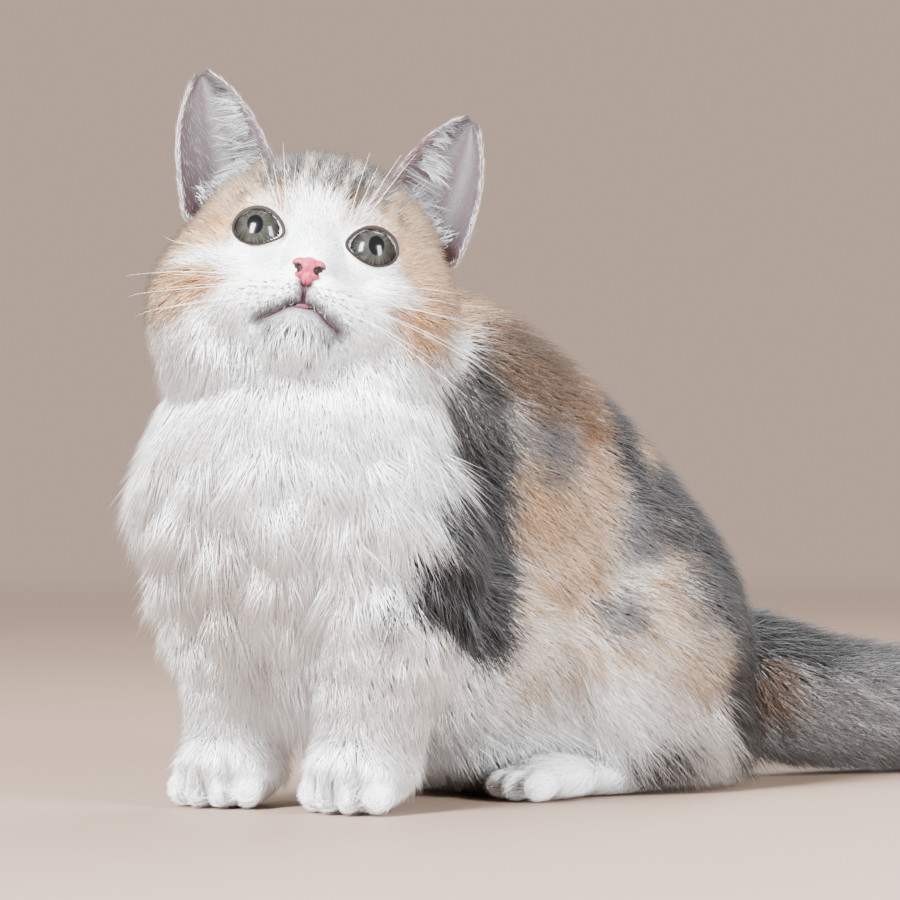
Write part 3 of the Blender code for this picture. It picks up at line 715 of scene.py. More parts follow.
# ---------------------------------------------------------------- the kitten's pose
@dataclass
class Pose:
    """Where the kitten's forms lie. Places are millimetres from its own origin."""

    head_centre: Vector = spot(-2.4, -12.9, 146.5)
    head_turn: float = math.radians(50)
    head_pitch: float = math.radians(-22)
    head_roll: float = math.radians(10)
    chest_turn: float = math.radians(20)
    hind_splay: float = 0.1
    midline: float = -5.0
    eye_place: Vector = spot(15.1, -24.9, 4.0)
    eye_splay: float = math.radians(14)
    fore_paw: dict = field(default_factory=lambda: {Side.LEFT: Vector((24.5, -17.0, 0.0)),
                                                    Side.RIGHT: Vector((-16.5, -31.5, 0.0))})
    hind_paw: dict = field(default_factory=lambda: {Side.LEFT: Vector((22.5, 55.0, 0.0)),
                                                    Side.RIGHT: Vector((-33.5, 55.0, 0.0))})
    tail_route: tuple = ((-3, 132, 36, 25), (3, 154, 31, 23.5), (7, 182, 24, 22),
                         (13, 212, 19.8, 21), (24, 238, 16.8, 18.4), (40, 257, 12.2, 13.8),
                         (52, 264, 8, 9))

    def __post_init__(self) -> None:
        """Finds the origin's shift and the head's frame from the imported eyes."""
        middles = []
        for side in Side:
            low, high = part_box(f"eye_{side.word}")
            middles.append((Vector(low) + Vector(high)) / 2)
        turn = frame_at(Vector(), self.head_turn, self.head_pitch, self.head_roll)
        between = Vector((0, self.eye_place.y, self.eye_place.z)) * MM
        centre = (middles[0] + middles[1]) / 2 - turn @ between
        self.shift = centre - self.head_centre * MM
        self.head = frame_at(centre, self.head_turn, self.head_pitch, self.head_roll)

    def home(self) -> Matrix:
        """The frame of the kitten's own origin."""
        return Matrix.Translation(self.shift)

    def eye(self, side: Side) -> Matrix:
        """The frame of an eye, which looks along its -Y."""
        place = Vector((side.value * self.eye_place.x, self.eye_place.y, self.eye_place.z)) * MM
        tilt = Matrix.Rotation(-side.value * math.radians(8), 4, "Y")
        splay = Matrix.Rotation(side.value * self.eye_splay, 4, "Z")
        return self.head @ Matrix.Translation(place) @ splay @ tilt

    def paw(self, side: Side, fore: bool) -> Matrix:
        """The frame of a paw, which points along its -Y."""
        place = (self.fore_paw if fore else self.hind_paw)[side]
        turn = self.chest_turn if fore else -side.value * self.hind_splay
        return self.home() @ frame_at(place * MM, turn)

    def seen_from(self, matrix: Matrix, points: np.ndarray) -> np.ndarray:
        """Places in the scene as millimetres in a frame."""
        inverse = np.array(matrix.inverted())
        return (points @ inverse[:3, :3].T + inverse[:3, 3]) / MM

    def in_head(self, points: np.ndarray) -> np.ndarray:
        """Places in the scene as millimetres in the head's frame."""
        return self.seen_from(self.head, points)

    def at_home(self, points: np.ndarray) -> np.ndarray:
        """Places in the scene as millimetres from the kitten's own origin."""
        return self.seen_from(self.home(), points)


# ---------------------------------------------------------------- skin
@dataclass
class Clay:
    """Overlapping ellipsoids, in millimetres, that are fused into one closed skin."""

    bm: bmesh.types.BMesh = field(default_factory=bmesh.new)

    def ball(self, base: Matrix, centre: tuple, radii: tuple, turn: float = 0.0,
             inset: float = 0.0, detail: int = 3) -> None:
        """Adds one ellipsoid, drawn in by the coat's depth.

        Args:
            base: the frame that the centre is in.
            centre: its middle, in millimetres.
            radii: its half sizes, in millimetres.
            turn: its turn about Z.
            inset: how far it is drawn in, in millimetres.
            detail: the sphere's subdivisions.
        """
        sizes = [max(radius - inset, 0.8) * MM for radius in radii]
        matrix = base @ frame_at(Vector(centre) * MM, turn) @ Matrix.Diagonal((*sizes, 1))
        bmesh.ops.create_icosphere(self.bm, subdivisions=detail, radius=1, matrix=matrix)

    def sweep(self, base: Matrix, stations: tuple, count: int, turn: float = 0.0,
              inset: float = 0.0, detail: int = 3) -> None:
        """Adds ellipsoids along a curve of stations, each a centre and its radii."""
        centres = curve_through([Vector(centre) for centre, _ in stations], count)
        sizes = curve_through([Vector(radii) for _, radii in stations], count)
        for centre, radii in zip(centres, sizes):
            self.ball(base, centre, radii, turn, inset, detail)

    def limb(self, base: Matrix, stations: tuple, count: int, inset: float = 0.0) -> None:
        """Adds balls along a curve of stations, each x, y, z and half thickness."""
        for x, y, z, half in curve_through([Vector(station) for station in stations], count):
            self.ball(base, (x, y, z), (half,) * 3, inset=inset)

    def fused(self, name: str, voxel: float, softness: int) -> bpy.types.Object:
        """One smooth closed mesh of all the balls."""
        return applied(object_of(self.bm, name), ("REMESH", {"mode": "VOXEL", "voxel_size": voxel}),
                       ("SMOOTH", {"factor": 0.5, "iterations": softness}))


@dataclass(frozen=True)
class Hair:
    """The coat of one stretch of skin, in millimetres."""

    length: float
    stand: float
    width: float


@unique
class Stretch(Enum):
    """The stretches of the coat, each with its hair."""

    FACE = Hair(6.5, 2.2, 0.34)
    MUZZLE = Hair(3.4, 1.1, 0.28)
    CHIN = Hair(10.5, 6.6, 0.34)
    CROWN = Hair(10.5, 7.4, 0.32)
    CHEEK = Hair(12.0, 4.6, 0.38)
    THROAT = Hair(20.0, 7.0, 0.50)
    CHEST = Hair(23.0, 9.0, 0.52)
    TORSO = Hair(16.0, 7.4, 0.45)
    RUMP = Hair(17.0, 7.2, 0.47)
    THIGH = Hair(17.0, 6.0, 0.46)
    FORELEG = Hair(13.0, 5.2, 0.44)
    PAW = Hair(5.4, 1.5, 0.27)
    TAIL = Hair(21.0, 7.6, 0.50)


@dataclass
class Skin:
    """One skin for the whole animal but its ears, inside the solids by the coat's depth."""

    pose: Pose
    voxel: float = 1.445 * MM
    softness: int = 5
    depth: dict = field(default_factory=lambda: {
        "chest": 4.6, "torso": 3.4, "thigh": 3.0, "leg": 2.0, "tail": 6.0, "head": 1.7,
        "muzzle": 0.8, "lid": 1.5, "paw": 0.9})

    def build(self) -> bpy.types.Object:
        """Fuses the forms, opens the eyes and keeps the coat's fields on the vertices.

        Returns:
            The skin, with its bake map.
        """
        clay = Clay()
        self._trunk(clay)
        self._head(clay)
        self._paws(clay)
        self.obj = clay.fused("skin", self.voxel, self.softness)
        self._refine()
        self._shape_face()
        self._fields()
        unwrapped(self.obj)
        return self.obj

    def _trunk(self, clay: Clay) -> None:
        """Throat, chest, back, haunches, upper legs and tail."""
        home, pose, mid = self.pose.home(), self.pose, self.pose.midline
        clay.sweep(home, (((-4, -12, 120), (42, 37, 26)), ((-2, -16, 98), (48, 42, 36)),
                          ((-1, -16, 80), (49, 41, 36)), ((-1, -10, 62), (45, 34, 32))),
                   9, pose.chest_turn, self.depth["chest"], 4)
        clay.sweep(home, (((-3, 12, 118), (38, 34, 34)), ((-4, 34, 108), (38, 40, 40)),
                          ((mid, 62, 86), (41, 43, 44)), ((mid, 86, 62), (43, 45, 45)),
                          ((mid, 104, 46), (43, 42, 42)), ((mid, 114, 29), (38, 34, 31))),
                   16, inset=self.depth["torso"], detail=4)
        clay.sweep(home, (((mid + 2, 16, 58), (34, 30, 30)), ((mid + 1, 50, 44), (37, 40, 31)),
                          ((mid, 84, 34), (36, 36, 27))), 7, inset=self.depth["torso"], detail=4)
        for side in Side:
            paw, sign = pose.fore_paw[side], side.value
            clay.ball(home, (mid + sign * 29, 90, 43), (22, 36, 33), -sign * 0.12,
                      self.depth["thigh"], 4)
            clay.limb(home, ((paw.x * 0.95, paw.y + 9, 78, 26),
                             (paw.x + sign * 1.5, paw.y + 8, 56, 23),
                             (paw.x, paw.y + 7, 40, 18.5), (paw.x, paw.y + 5, 26, 15.5),
                             (paw.x, paw.y + 3, 15, 13)), 20, self.depth["leg"])
        clay.limb(home, pose.tail_route, 30, self.depth["tail"])

    def _head(self, clay: Clay) -> None:
        """Skull, cheeks, muzzle, brows and lids, in the head's own frame."""
        head, deep, thin = self.pose.head, self.depth["head"], self.depth["muzzle"]
        eye = self.pose.eye_place
        for centre, radii, inset in (((0, 4, 4), (37, 36, 34.5), deep),
                                     ((0, -9, 13), (27, 23, 22), deep),
                                     ((0, -18, -22), (19, 19, 11.5), deep),
                                     ((0, -29.5, -24), (8, 8, 6), thin)):
            clay.ball(head, centre, radii, inset=inset, detail=4)
        clay.limb(head, ((0, -20, 8, 10.5), (0, -29, -1, 9), (0, -34.5, -7.5, 6.2)), 9, thin)
        for side in Side:
            sign = side.value
            clay.sweep(head, (((sign * 18, 0, 2), (22, 26, 22)),
                              ((sign * 23, -2, -10), (21, 24, 19)),
                              ((sign * 19, -4, -19), (19, 22, 14))), 6, inset=deep, detail=4)
            clay.sweep(head, (((sign * 5, -31, -13), (7, 8, 6.5)),
                              ((sign * 10, -28, -16), (10, 10, 8)),
                              ((sign * 15, -22, -17), (11, 11, 9))), 6, inset=thin)
            clay.ball(head, (sign * eye.x, eye.y, eye.z), (10.6,) * 3, inset=self.depth["lid"],
                      detail=4)
            clay.ball(head, (sign * 14, -21, 13), (11, 8, 7), inset=deep)
            clay.ball(head, (sign * 21, -20, -5), (10, 10, 8), inset=deep)

    def _paws(self, clay: Clay) -> None:
        """Four paws with four toes each."""
        inset = self.depth["paw"]
        for side in Side:
            for fore in (True, False):
                home = self.pose.paw(side, fore)
                if fore:
                    clay.ball(home, (0, 2.5, 10.4), (15, 18, 11), inset=inset)
                    toes, toe, low = -16, (5.2, 7, 5.6), 5.8
                else:
                    clay.ball(home, (0, 2, 6.4), (13, 15, 6.8), inset=inset)
                    clay.ball(home, (-side.value * 3, 24, 5.6), (10, 30, 5.8), inset=inset)
                    toes, toe, low = -19, (4.8, 7, 5.0), 5.0
                for out, reach in ((-10.2, 4.5), (-3.6, 0.6), (3.6, 0), (10.2, 3.5)):
                    spread = side.value * out
                    clay.ball(home, (spread, toes + reach + 7.2, low), toe, spread * 0.02, inset)

    def _refine(self) -> None:
        """Makes the mesh finer over the face, and flat where the animal rests."""
        mesh = self.obj.data
        bm = bmesh.new()
        bm.from_mesh(mesh)
        inverse = self.pose.head.inverted()
        for wide, front, top in ((27, -13, 17), (17, -24, 6)):
            edges = set()
            for face in bm.faces:
                x, y, z = inverse @ face.calc_center_median() / MM
                if abs(x) < wide and y < front and -33 < z < top:
                    edges.update(face.edges)
            bmesh.ops.subdivide_edges(bm, edges=list(edges), cuts=1, use_grid_fill=True)
        for vertex in bm.verts:
            vertex.co.z = max(vertex.co.z, SKIN_GAP)
        bmesh.ops.triangulate(bm, faces=[face for face in bm.faces if len(face.verts) > 4])
        bm.to_mesh(mesh)
        bm.free()

    def _shape_face(self) -> None:
        """Opens the eye sockets behind the lids and presses the mouth's fold in."""
        mesh = self.obj.data
        points = points_of(mesh)
        for side in Side:
            matrix = self.pose.eye(side)
            local = self.pose.seen_from(matrix, points)
            reach = np.linalg.norm(local, axis=1)
            ring = opening_place(local, side)
            inside = (ring < 1.03) & (local[:, 1] < 0) & (reach < 15)
            pulled = local * (7.3 / np.maximum(reach, 0.1))[:, None] * MM
            turned = pulled @ np.array(matrix)[:3, :3].T + np.array(matrix.translation)
            points[inside] = turned[inside]
        local = self.pose.in_head(points)
        gap = mouth_distance(local)
        normals = normals_of(mesh)
        depth = FOLD_DEPTH * np.exp(-(gap / 0.9) ** 2) - 0.35 * np.exp(-((gap - 2.4) / 1.1) ** 2)
        front = local[:, 1] < MOUTH_FRONT
        depth = depth * front + FOLD_DEPTH * self._toe_folds(points)
        points -= normals * depth[:, None] * MM
        moved_to(mesh, points)

    def _toe_folds(self, points: np.ndarray) -> np.ndarray:
        """How deep in a fold between two toes each place lies, from 0 to 1."""
        folds = np.zeros(len(points))
        for side in Side:
            for fore in (True, False):
                x, y, z = self.pose.seen_from(self.pose.paw(side, fore), points).T
                for middle in TOE_MIDDLES:
                    fold = np.exp(-((x - middle) / TOE_FOLD_WIDTH) ** 2)
                    fold *= step(y, -4, -9) * step(y, -24, -20) * step(z, 14, 11)
                    folds = np.maximum(folds, fold)
        return folds

    def _fields(self) -> None:
        """Keeps the coat's lie, lengths, zones, pigments and painted shade on the vertices."""
        mesh = self.obj.data
        edges = edges_of(mesh)
        points, normals = points_of(mesh), normals_of(mesh)
        self.places, head = self.pose.at_home(points), self.pose.in_head(points)
        self.names = self._stretches(points, head)
        near_eye, brow = self._eye_rings(points)
        sizes = self._sizes(edges, head, near_eye)
        nose = np.linalg.norm((head - np.array((0, -38.6, -9.4))) / (5.0, 5.0, 4.0), axis=1)
        bare = (near_eye > 1.06 + 0.12 * brow) & (nose > 1.0) & (points[:, 2] > BARE_BELOW)
        self.bare = bare.astype(float)
        cling = softened(self._cling(head), edges, 12)
        lie = softened(self._lie(head), edges, 14)
        out = np.sum(lie * normals, axis=1)
        kept = np.clip(out, 0, 1) * np.clip(1.35 * (1 - cling), 0, 1)
        lie = units(lie + normals * (kept - out)[:, None])
        shown = points + lie * (sizes[:, 0] * 0.5 * MM)[:, None]
        made = Markings(self.pose).body(points, shown, edges, near_eye)
        folds = self._toe_folds(points)
        # Painted shade in the creases between the toes: darker roots and some grey.
        made["smoke"] = np.maximum(made["smoke"], folds)
        made["grey"] = np.maximum(made["grey"], folds * 0.55)
        length, stand, width = sizes.T * MM
        # At along 0.16 the skin takes the colour of the hair roots, with their painted shade.
        store(mesh, length=length, stand=stand, width=width, cling=cling, lie=lie,
              up=softened(normals, edges, 3), root=points, along=np.full(len(points), 0.16),
              chance=np.full(len(points), 0.5), **made)

    def _eye_rings(self, points: np.ndarray) -> tuple:
        """How far out each vertex lies from an eye, and how far up on its brow."""
        near_eye, brow = np.full(len(points), 9.0), np.zeros(len(points))
        for side in Side:
            local = self.pose.seen_from(self.pose.eye(side), points)
            ring = opening_place(local, side)
            ring[(local[:, 1] > 0) | (np.linalg.norm(local, axis=1) > 20)] = 9.0
            brow = np.where(ring < near_eye, step(local[:, 2], 0.0, 4.5), brow)
            near_eye = np.minimum(near_eye, ring)
        return near_eye, brow

    def _sizes(self, edges: np.ndarray, head: np.ndarray, near_eye: np.ndarray) -> np.ndarray:
        """The hair's length, stand and width on each vertex, in millimetres."""
        table = {each.name: astuple(each.value) for each in Stretch}
        sizes = softened(np.array([table[name] for name in self.names]), edges, 24)
        y, z = self.places[:, 1:].T
        short = 0.38 + 0.62 * step(near_eye, 1.1, 2.2)
        lips = 0.5 + 0.5 * step(mouth_distance(head), 0.5, 4.0)
        short = np.minimum(short, np.where(head[:, 1] < MOUTH_FRONT, lips, 1.0))
        sizes[:, :2] *= short[:, None]
        paws, chest, crown = (self.names == name for name in ("PAW", "CHEST", "CROWN"))
        sizes[:, 0] *= 1 + 0.45 * (step(z, 44, 26) * step(y, 14, 26)) * ~paws
        sizes[:, :2] *= 1 + 0.7 * (paws * step(y, 44, 60))[:, None]
        sizes[:, 0] *= self._bib_length(chest)
        lumps = np.array([noise.noise(Vector(place) / 10.0) for place in self.places])
        lumps *= softened(chest * step(z, 34, 62), edges, 6)
        sizes[:, 1] *= 1 + lumps * 1.2
        sizes[:, 1] *= 1 - 0.5 * crown * step(head[:, 1], 0, 16)
        sizes[:, 0] = np.minimum(sizes[:, 0], z * 1.05 + 5)
        return sizes

    def _bib_length(self, chest: np.ndarray) -> np.ndarray:
        """The low bib's length as a share: short on the legs, long between them."""
        x, _, z = self.places.T
        between = step(np.abs(x - 3.5), 12, 5)
        return 1 + chest * step(z, BIB_SPLIT, 58) * (0.65 * between - 0.42)

    def _cling(self, head: np.ndarray) -> np.ndarray:
        """How closely the hair hugs the body: 1 lies on it, 0 hangs free."""
        z = self.places[:, 2]
        loose = {"THROAT": 0.5, "CHEEK": step(-head[:, 2], 8, 24) * 0.6, "CHIN": 0.75,
                 "CROWN": 0.45, "CHEST": 0.2 + 0.45 * step(z, 66, 46),
                 "THIGH": step(z, 44, 28) * 0.97, "RUMP": step(z, 34, 20) * 0.6,
                 "TORSO": step(z, 54, 38) * 0.9}
        cling = np.ones(len(z))
        for name, amount in loose.items():
            cling -= np.where(self.names == name, amount, 0.0)
        return cling

    def _stretches(self, points: np.ndarray, head: np.ndarray) -> np.ndarray:
        """The name of each vertex's stretch, from the nearest solid and the face's regions."""
        corners, faces, owners = [], [], []
        for name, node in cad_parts.items():
            start = len(corners)
            corners += [vertex.co.copy() for vertex in node.data.vertices]
            faces += [[start + i for i in face.vertices] for face in node.data.polygons]
            owners += [name.split("_")[0]] * len(node.data.polygons)
        tree = BVHTree.FromPolygons(corners, faces)
        kinds = {"head": "FACE", "ear": "CROWN", "eye": "FACE", "nose": "MUZZLE", "fore": "PAW",
                 "hind": "PAW"}
        kinds = [kinds.get(owner, owner.upper()) for owner in owners]
        found = np.array([kinds[tree.find_nearest(Vector(point))[2]] for point in points])
        on_head = found == "FACE"
        x, y, z = np.abs(head[:, 0]), head[:, 1], head[:, 2]
        for name, inside in (("CHEEK", x + (y + 10) * 0.35 - z * 0.25 > 27),
                             ("CROWN", z + y * 0.5 > 11.5),
                             ("MUZZLE", (y < -20) & (x < 17) & (z < -2 + (y + 40) * 0.2)),
                             ("MUZZLE", (y < -24) & (x < 7) & (z < 10)),
                             ("CHIN", (z < -23.5) & (x < 9)),
                             ("THROAT", (z < -22 + x * 0.05) & (y > -25 + x * 0.12))):
            found[on_head & inside] = name
        found[(found == "CHEST") & (self.places[:, 2] > THROAT_FROM)] = "THROAT"
        return found

    def _lie(self, head: np.ndarray) -> np.ndarray:
        """The way each vertex's hair runs, before it is laid into the surface."""
        place = self.places
        low = step(place[:, 2], 45, 12)[:, None]
        lie = np.tile((0.0, 0.75, -0.66), (len(place), 1))
        lie = lie * (1 - low) + np.array((0.0, 0.35, -0.94)) * low
        turn = np.array(self.pose.head.to_3x3())
        from_nose = head - np.array((0, -44, -9))
        from_nose /= np.linalg.norm(from_nose, axis=1)[:, None]
        sag = step(-head[:, 2], 4, 24)[:, None] * 0.9 + (self.names == "CHIN")[:, None] * 0.8
        front = np.array((math.sin(self.pose.chest_turn), -math.cos(self.pose.chest_turn), 0))
        fan = np.stack((place[:, 0] * 0.006, np.zeros(len(place)), -np.ones(len(place))), axis=1)
        fore = place[:, 1:2] < 20
        paw = np.where(fore, front * 0.9 + np.array((0, 0, -0.5)), (0.0, -0.9, -0.4))
        for names, way in ((("FACE", "MUZZLE", "CHIN", "CROWN", "CHEEK"),
                            from_nose @ turn.T - sag * np.array((0, 0, 1.0))),
                           (("CHEST", "THROAT"), fan),
                           (("FORELEG",), np.array((0.0, 0.12, -1.0))),
                           (("TAIL",), self._along_tail(place) + np.array((0, 0, -0.25))),
                           (("PAW",), paw)):
            lie = np.where(np.isin(self.names, names)[:, None], way, lie)
        return lie

    def _along_tail(self, place: np.ndarray) -> np.ndarray:
        """The tail's direction where it passes closest to each place."""
        route = np.array([curve_point([Vector(s) for s in self.pose.tail_route], i * 0.2)[:3]
                          for i in range(31)])
        near = np.argmin(np.linalg.norm(place[:, None, :] - route[None, :, :], axis=2), axis=1)
        near = np.minimum(near, len(route) - 2)
        on_tail = route[near + 1] - route[near]
        return on_tail / np.linalg.norm(on_tail, axis=1)[:, None]

    def mask(self, coat: "Coat") -> np.ndarray:
        """A coat's density on each vertex: 1 where it grows, 0 elsewhere."""
        low, high = coat.heights
        z = self.places[:, 2]
        return (np.isin(self.names, coat.stretches) & (z > low) & (z <= high)) * self.bare


def opening_place(local: np.ndarray, side: Side) -> np.ndarray:
    """How far out a place in an eye's frame lies, where 1 is the lids' edge."""
    x = local[:, 0] * side.value
    z = local[:, 2]
    z = z / np.where(x < 0, 1 - 0.25 * np.minimum((x / OPENING_WIDE) ** 2, 1), 1.0)
    x = np.where(x < 0, x / 1.06, x)
    return np.hypot(x / OPENING_WIDE, z / OPENING_HIGH)


MOUTH_ROUTES = (((0, -39.5, -13.0), (0, -38.5, -15.5), (0.2, -37, -18.0)),
                ((-0.6, -37, -18.0), (3.4, -36.5, -18.9), (7.6, -34, -21.8), (11.6, -31, -23.6)),
                ((0.8, -37, -18.0), (-3.0, -36.5, -18.9), (-7.4, -34, -21.8), (-11.4, -31, -23.6)))


def mouth_distance(head: np.ndarray) -> np.ndarray:
    """How far places in the head's frame are from the lips' lines, seen from the front."""
    best = np.full(len(head), 99.0)
    for route in MOUTH_ROUTES:
        for point in curve_through([Vector(p) for p in route], 24):
            away = np.hypot(head[:, 0] - point.x, (head[:, 2] - point.z))
            best = np.minimum(best, away)
    return best


# Soft spots by pigment: how much each adds, its middle and its half sizes in millimetres.
TRUNK_PATCHES = {
    "dark": (
        (0.18, (20, 42, 128), (16, 14, 12)), (0.84, (14, 83, 111), (28, 9, 11)),
        (0.76, (28, 78, 98), (13, 8, 13)), (0.80, (16, 103, 92), (32, 11, 12)),
        (0.62, (30, 93, 85), (12, 10, 12)), (0.86, (16, 118, 76), (34, 12, 17)),
        (0.56, (34, 103, 62), (12, 12, 20)), (0.95, (16, 125, 52), (38, 20, 31)),
        (0.66, (32, 116, 34), (15, 14, 16)), (0.62, (34, 92, 9), (16, 13, 10)),
        (0.60, (12, 124, 20), (34, 12, 14))),
    "brown": ((0.26, (18, 46, 123), (20, 20, 15)),),
    "orange": (
        (0.24, (18, 46, 123), (20, 20, 15)), (0.28, (14, 80, 117), (16, 9, 8)),
        (0.32, (29, 62, 108), (9, 7, 9)), (0.12, (32, 56, 92), (10, 7, 13)),
        (0.10, (31, 57, 74), (10, 7, 12)), (0.55, (12, 98, 103), (18, 5, 5)),
        (0.30, (38, 86, 61), (7, 6, 7))),
    "cream": ((0.30, (31, 41, 92), (9, 8, 22)),),
    "grey": (
        (0.38, (32, 85, 83), (10, 10, 15)), (0.28, (30, 44, 110), (14, 14, 8)),
        (0.28, (30, 50, 100), (10, 9, 9)), (0.26, (31, 42, 104), (9, 8, 12)),
        (0.34, (32, 78, 80), (9, 9, 14)), (0.62, (37, 70, 54), (8, 8, 9)),
        (0.42, (38, 97, 56), (10, 9, 15)))}
FACE_PATCHES = {
    "cream": (
        (0.62, (-33, -15, 7), (13, 14, 9)), (0.70, (-34, -17, -11), (14, 14, 8)),
        (0.42, (-37, -12, -19), (10, 10, 6)), (0.24, (-33, -16, -2), (14, 15, 17)),
        (0.16, (34, -15, -5), (11, 13, 15)), (0.52, (34, -15, 0), (9, 12, 10)),
        (0.34, (28, -20, 6), (8, 9, 7)), (0.52, (33, -18, -13), (10, 12, 9))),
    "orange": (
        (0.40, (-30, -19, 9), (9, 10, 3.5)), (0.66, (-30, -21, -12), (10, 10, 3.5)),
        (0.34, (-39, -12, -5), (7, 10, 7)), (0.56, (29, -23, -12), (7, 8, 3.2)),
        (0.40, (38, -13, -3), (4, 8, 10)), (0.44, (35, -16, -18), (8, 9, 4)),
        (0.60, (-12, -26, 19), (2.6, 9, 8))),
    "brown": (
        (0.30, (-29, -22, -14), (7, 6, 1.8)), (0.24, (29, -23, -13), (6, 6, 1.6)),
        (0.60, (9, -27, 21), (2.4, 9, 7))),
    # Grey beside and under the mouth: partly grey hair, partly painted shade of the mouth's fold.
    "grey": (
        (0.20, (9, -35, -17), (7, 9, 5)), (0.20, (-9, -35, -17), (7, 9, 5)),
        (0.30, (0, -33, -23), (9, 9, 4)))}


@dataclass
class Markings:
    """The calico pattern, in millimetres: how much of each pigment the skin carries, and its
    painted shade.
    """

    pose: Pose

    def body(self, points: np.ndarray, shown: np.ndarray, edges: np.ndarray,
             near_eye: np.ndarray) -> dict:
        """The pigments and painted shade of the whole skin.

        Args:
            points: the vertices' places.
            shown: the places of the middles of the hairs that grow there.
            edges: the mesh's edges, along which the pattern is softened.
            near_eye: how far each vertex lies from the lids' edges.

        Returns:
            Arrays by pigment, and one of painted shade.
        """
        place, head = self.pose.at_home(shown), self.pose.in_head(shown)
        made, face = ({name: np.zeros(len(points)) for name in PIGMENTS} for _ in range(2))
        self._trunk(place, made)
        self._face(head, face)
        reach = np.linalg.norm((head - np.array((0, 2, 0))) / (43, 41, 38), axis=1)
        share = step(reach, 1.18, 1.08)
        made = {name: values * (1 - share) + face[name] * share for name, values in made.items()}
        made["dark"] = np.maximum(made["dark"], step(near_eye, 1.25, 1.08) * 0.55)
        root = self.pose.in_head(points)
        gap = mouth_distance(root)
        front = root[:, 1] < MOUTH_FRONT
        made["rose"] = np.maximum(made["rose"], front * step(gap, 1.7, 0.5) * 0.85)
        # Grey round the mouth: partly the muzzle's grey hair, partly painted shade of the mouth's
        # fold.
        made["grey"] = np.maximum(made["grey"], front * step(gap, 6.0, 0.5) * 0.74)
        # Painted shade between the clumps on the chest's front, and between the chin's tufts under
        # the mouth.
        chest = (1 - share) * step(place[:, 1], 30, 5) * (0.6 + 0.4 * step(place[:, 2], 20, 50))
        made["smoke"] = np.maximum(chest * 0.23, blob(root, (0, -33, -27), (12, 9, 8)) * 0.8)
        return {name: softened(values, edges, 1) for name, values in made.items()}

    @staticmethod
    def _spots(places: np.ndarray, made: dict, patches: dict, soft: float = 0.35) -> None:
        """Adds soft spots to the pigments."""
        for name, spots in patches.items():
            for amount, centre, radii in spots:
                made[name] += blob(places, centre, radii, soft) * amount

    def _trunk(self, place: np.ndarray, made: dict) -> None:
        """Lays the pattern of the back, flanks, haunches and tail."""
        x, y, z = place.T.copy()
        mid = self.pose.midline
        far = step(mid - x, 0, 22)
        y = y + far * 6 * np.sin(z * 0.07 + 1)
        x = np.where(x < mid, 2 * mid - x, x)
        place = np.stack((x, y, z), axis=1)
        left = np.interp(z, (26, 39, 47, 55, 64, 76, 88, 102, 116, 125),
                         (34, 24, 4, -8, -17, -13, -3, 5, 6, 6))
        right = np.interp(z, (36, 44, 59, 70, 88, 102, 116, 125),
                          (32, 34, 37, 41, 37, 35, 32, 28))
        inside = step(y - left, -5, 4)
        tail = step(y, 128, 142)
        coat = inside * step(z, 18, 34) * (1 - tail)
        made["cream"] += coat * step(y - right, -4, 6) * (0.38 + 0.18 * step(z, 40, 70))
        made["grey"] += coat * step(y - right, -4, 6) * 0.18 * step(z, 42, 75)
        band = inside * step(right - y, -3, 5) * step(z, 36, 46)
        band *= np.maximum(step(x, 14, 26), step(y, -4, 8))
        made["dark"] += band * (0.88 - 0.36 * step(z, 98, 114))
        made["brown"] += band * 0.45 * step(z, 98, 114)
        for height, slope, reach in ((72, 0.25, -22), (60, 0.15, -26), (66, 0.2, -17)):
            stripe = np.exp(-((z - height - slope * (y + 10)) / 1.9) ** 2)
            stripe *= step(y, reach - 3, reach + 9) * step(y, 2, -8) * step(x, 14, 28)
            made["dark"] += stripe * 0.75
        nape = step(z + 0.35 * (y - 40), 104, 118) * step(y, 84, 68) * step(y - left, -3, 6)
        made["brown"] += nape * 0.40
        made["orange"] += nape * 0.50
        self._spots(place, made, TRUNK_PATCHES)
        made["cream"] *= 1 - 0.5 * blob(place, (33, 76, 78), (12, 8, 20))
        low = blob(place, (32, 66, 20), (26, 28, 14))
        for name in ("cream", "grey", "orange"):
            made[name] *= 1 - 0.8 * low
        top = step(z, 26, 40)
        rings = step(np.sin(y * 0.38 + z * 0.1), 0.1, 0.9)
        made["grey"] += tail * (0.58 + 0.12 * top)
        made["brown"] += tail * 0.22
        made["dark"] += tail * (0.12 + top * 0.62 + rings * 0.20) * step(y, 300, 180)
        made["dark"] += tail * step(y, 215, 250) * 0.35
        made["dark"] += tail * step(z, 30, 42) * step(y, 172, 150) * 0.5
        root = blob(place, (22, 149, 27), (16, 12, 11))
        made["brown"] += root * 0.30
        made["orange"] += root * 0.60
        made["dark"] -= root * 0.80

    def _face(self, head: np.ndarray, made: dict) -> None:
        """Lays the pattern of the crown, the cheeks and the muzzle."""
        x, y, z = head.T
        high = z + 0.45 * y
        off = np.abs(x + 0.5)
        wave = np.cos(x * 1.45 + np.sin(z * 0.35) * 0.7 + np.sin(x * 0.45) * 1.2)
        stripes = step(wave, -0.1, 0.8) * step(y, 12, -6)
        beside = np.maximum(step(off, 4.0, 7.0) * step(high, -7, -1), step(high, 7, 11))
        made["cream"] += beside * (0.40 + 0.18 * step(off, 10, 20))
        made["brown"] += step(high, 4, 9) * (0.10 + 1.10 * stripes) * step(off, 26, 15)
        made["dark"] += step(high, 9, 15) * (0.08 + 0.92 * stripes) * step(off, 24, 13)
        nape = step(y, 10, 24)
        made["brown"] += nape * 0.40
        made["orange"] += nape * 0.25
        self._spots(head, made, FACE_PATCHES, 0.5)
        for centre, radii in (((-31, -21, -4), (13, 11, 3.6)), ((27, -24, -6), (8, 10, 3.2))):
            for name in ("cream", "orange"):
                made[name] *= 1 - 0.7 * blob(head, centre, radii, 0.5)


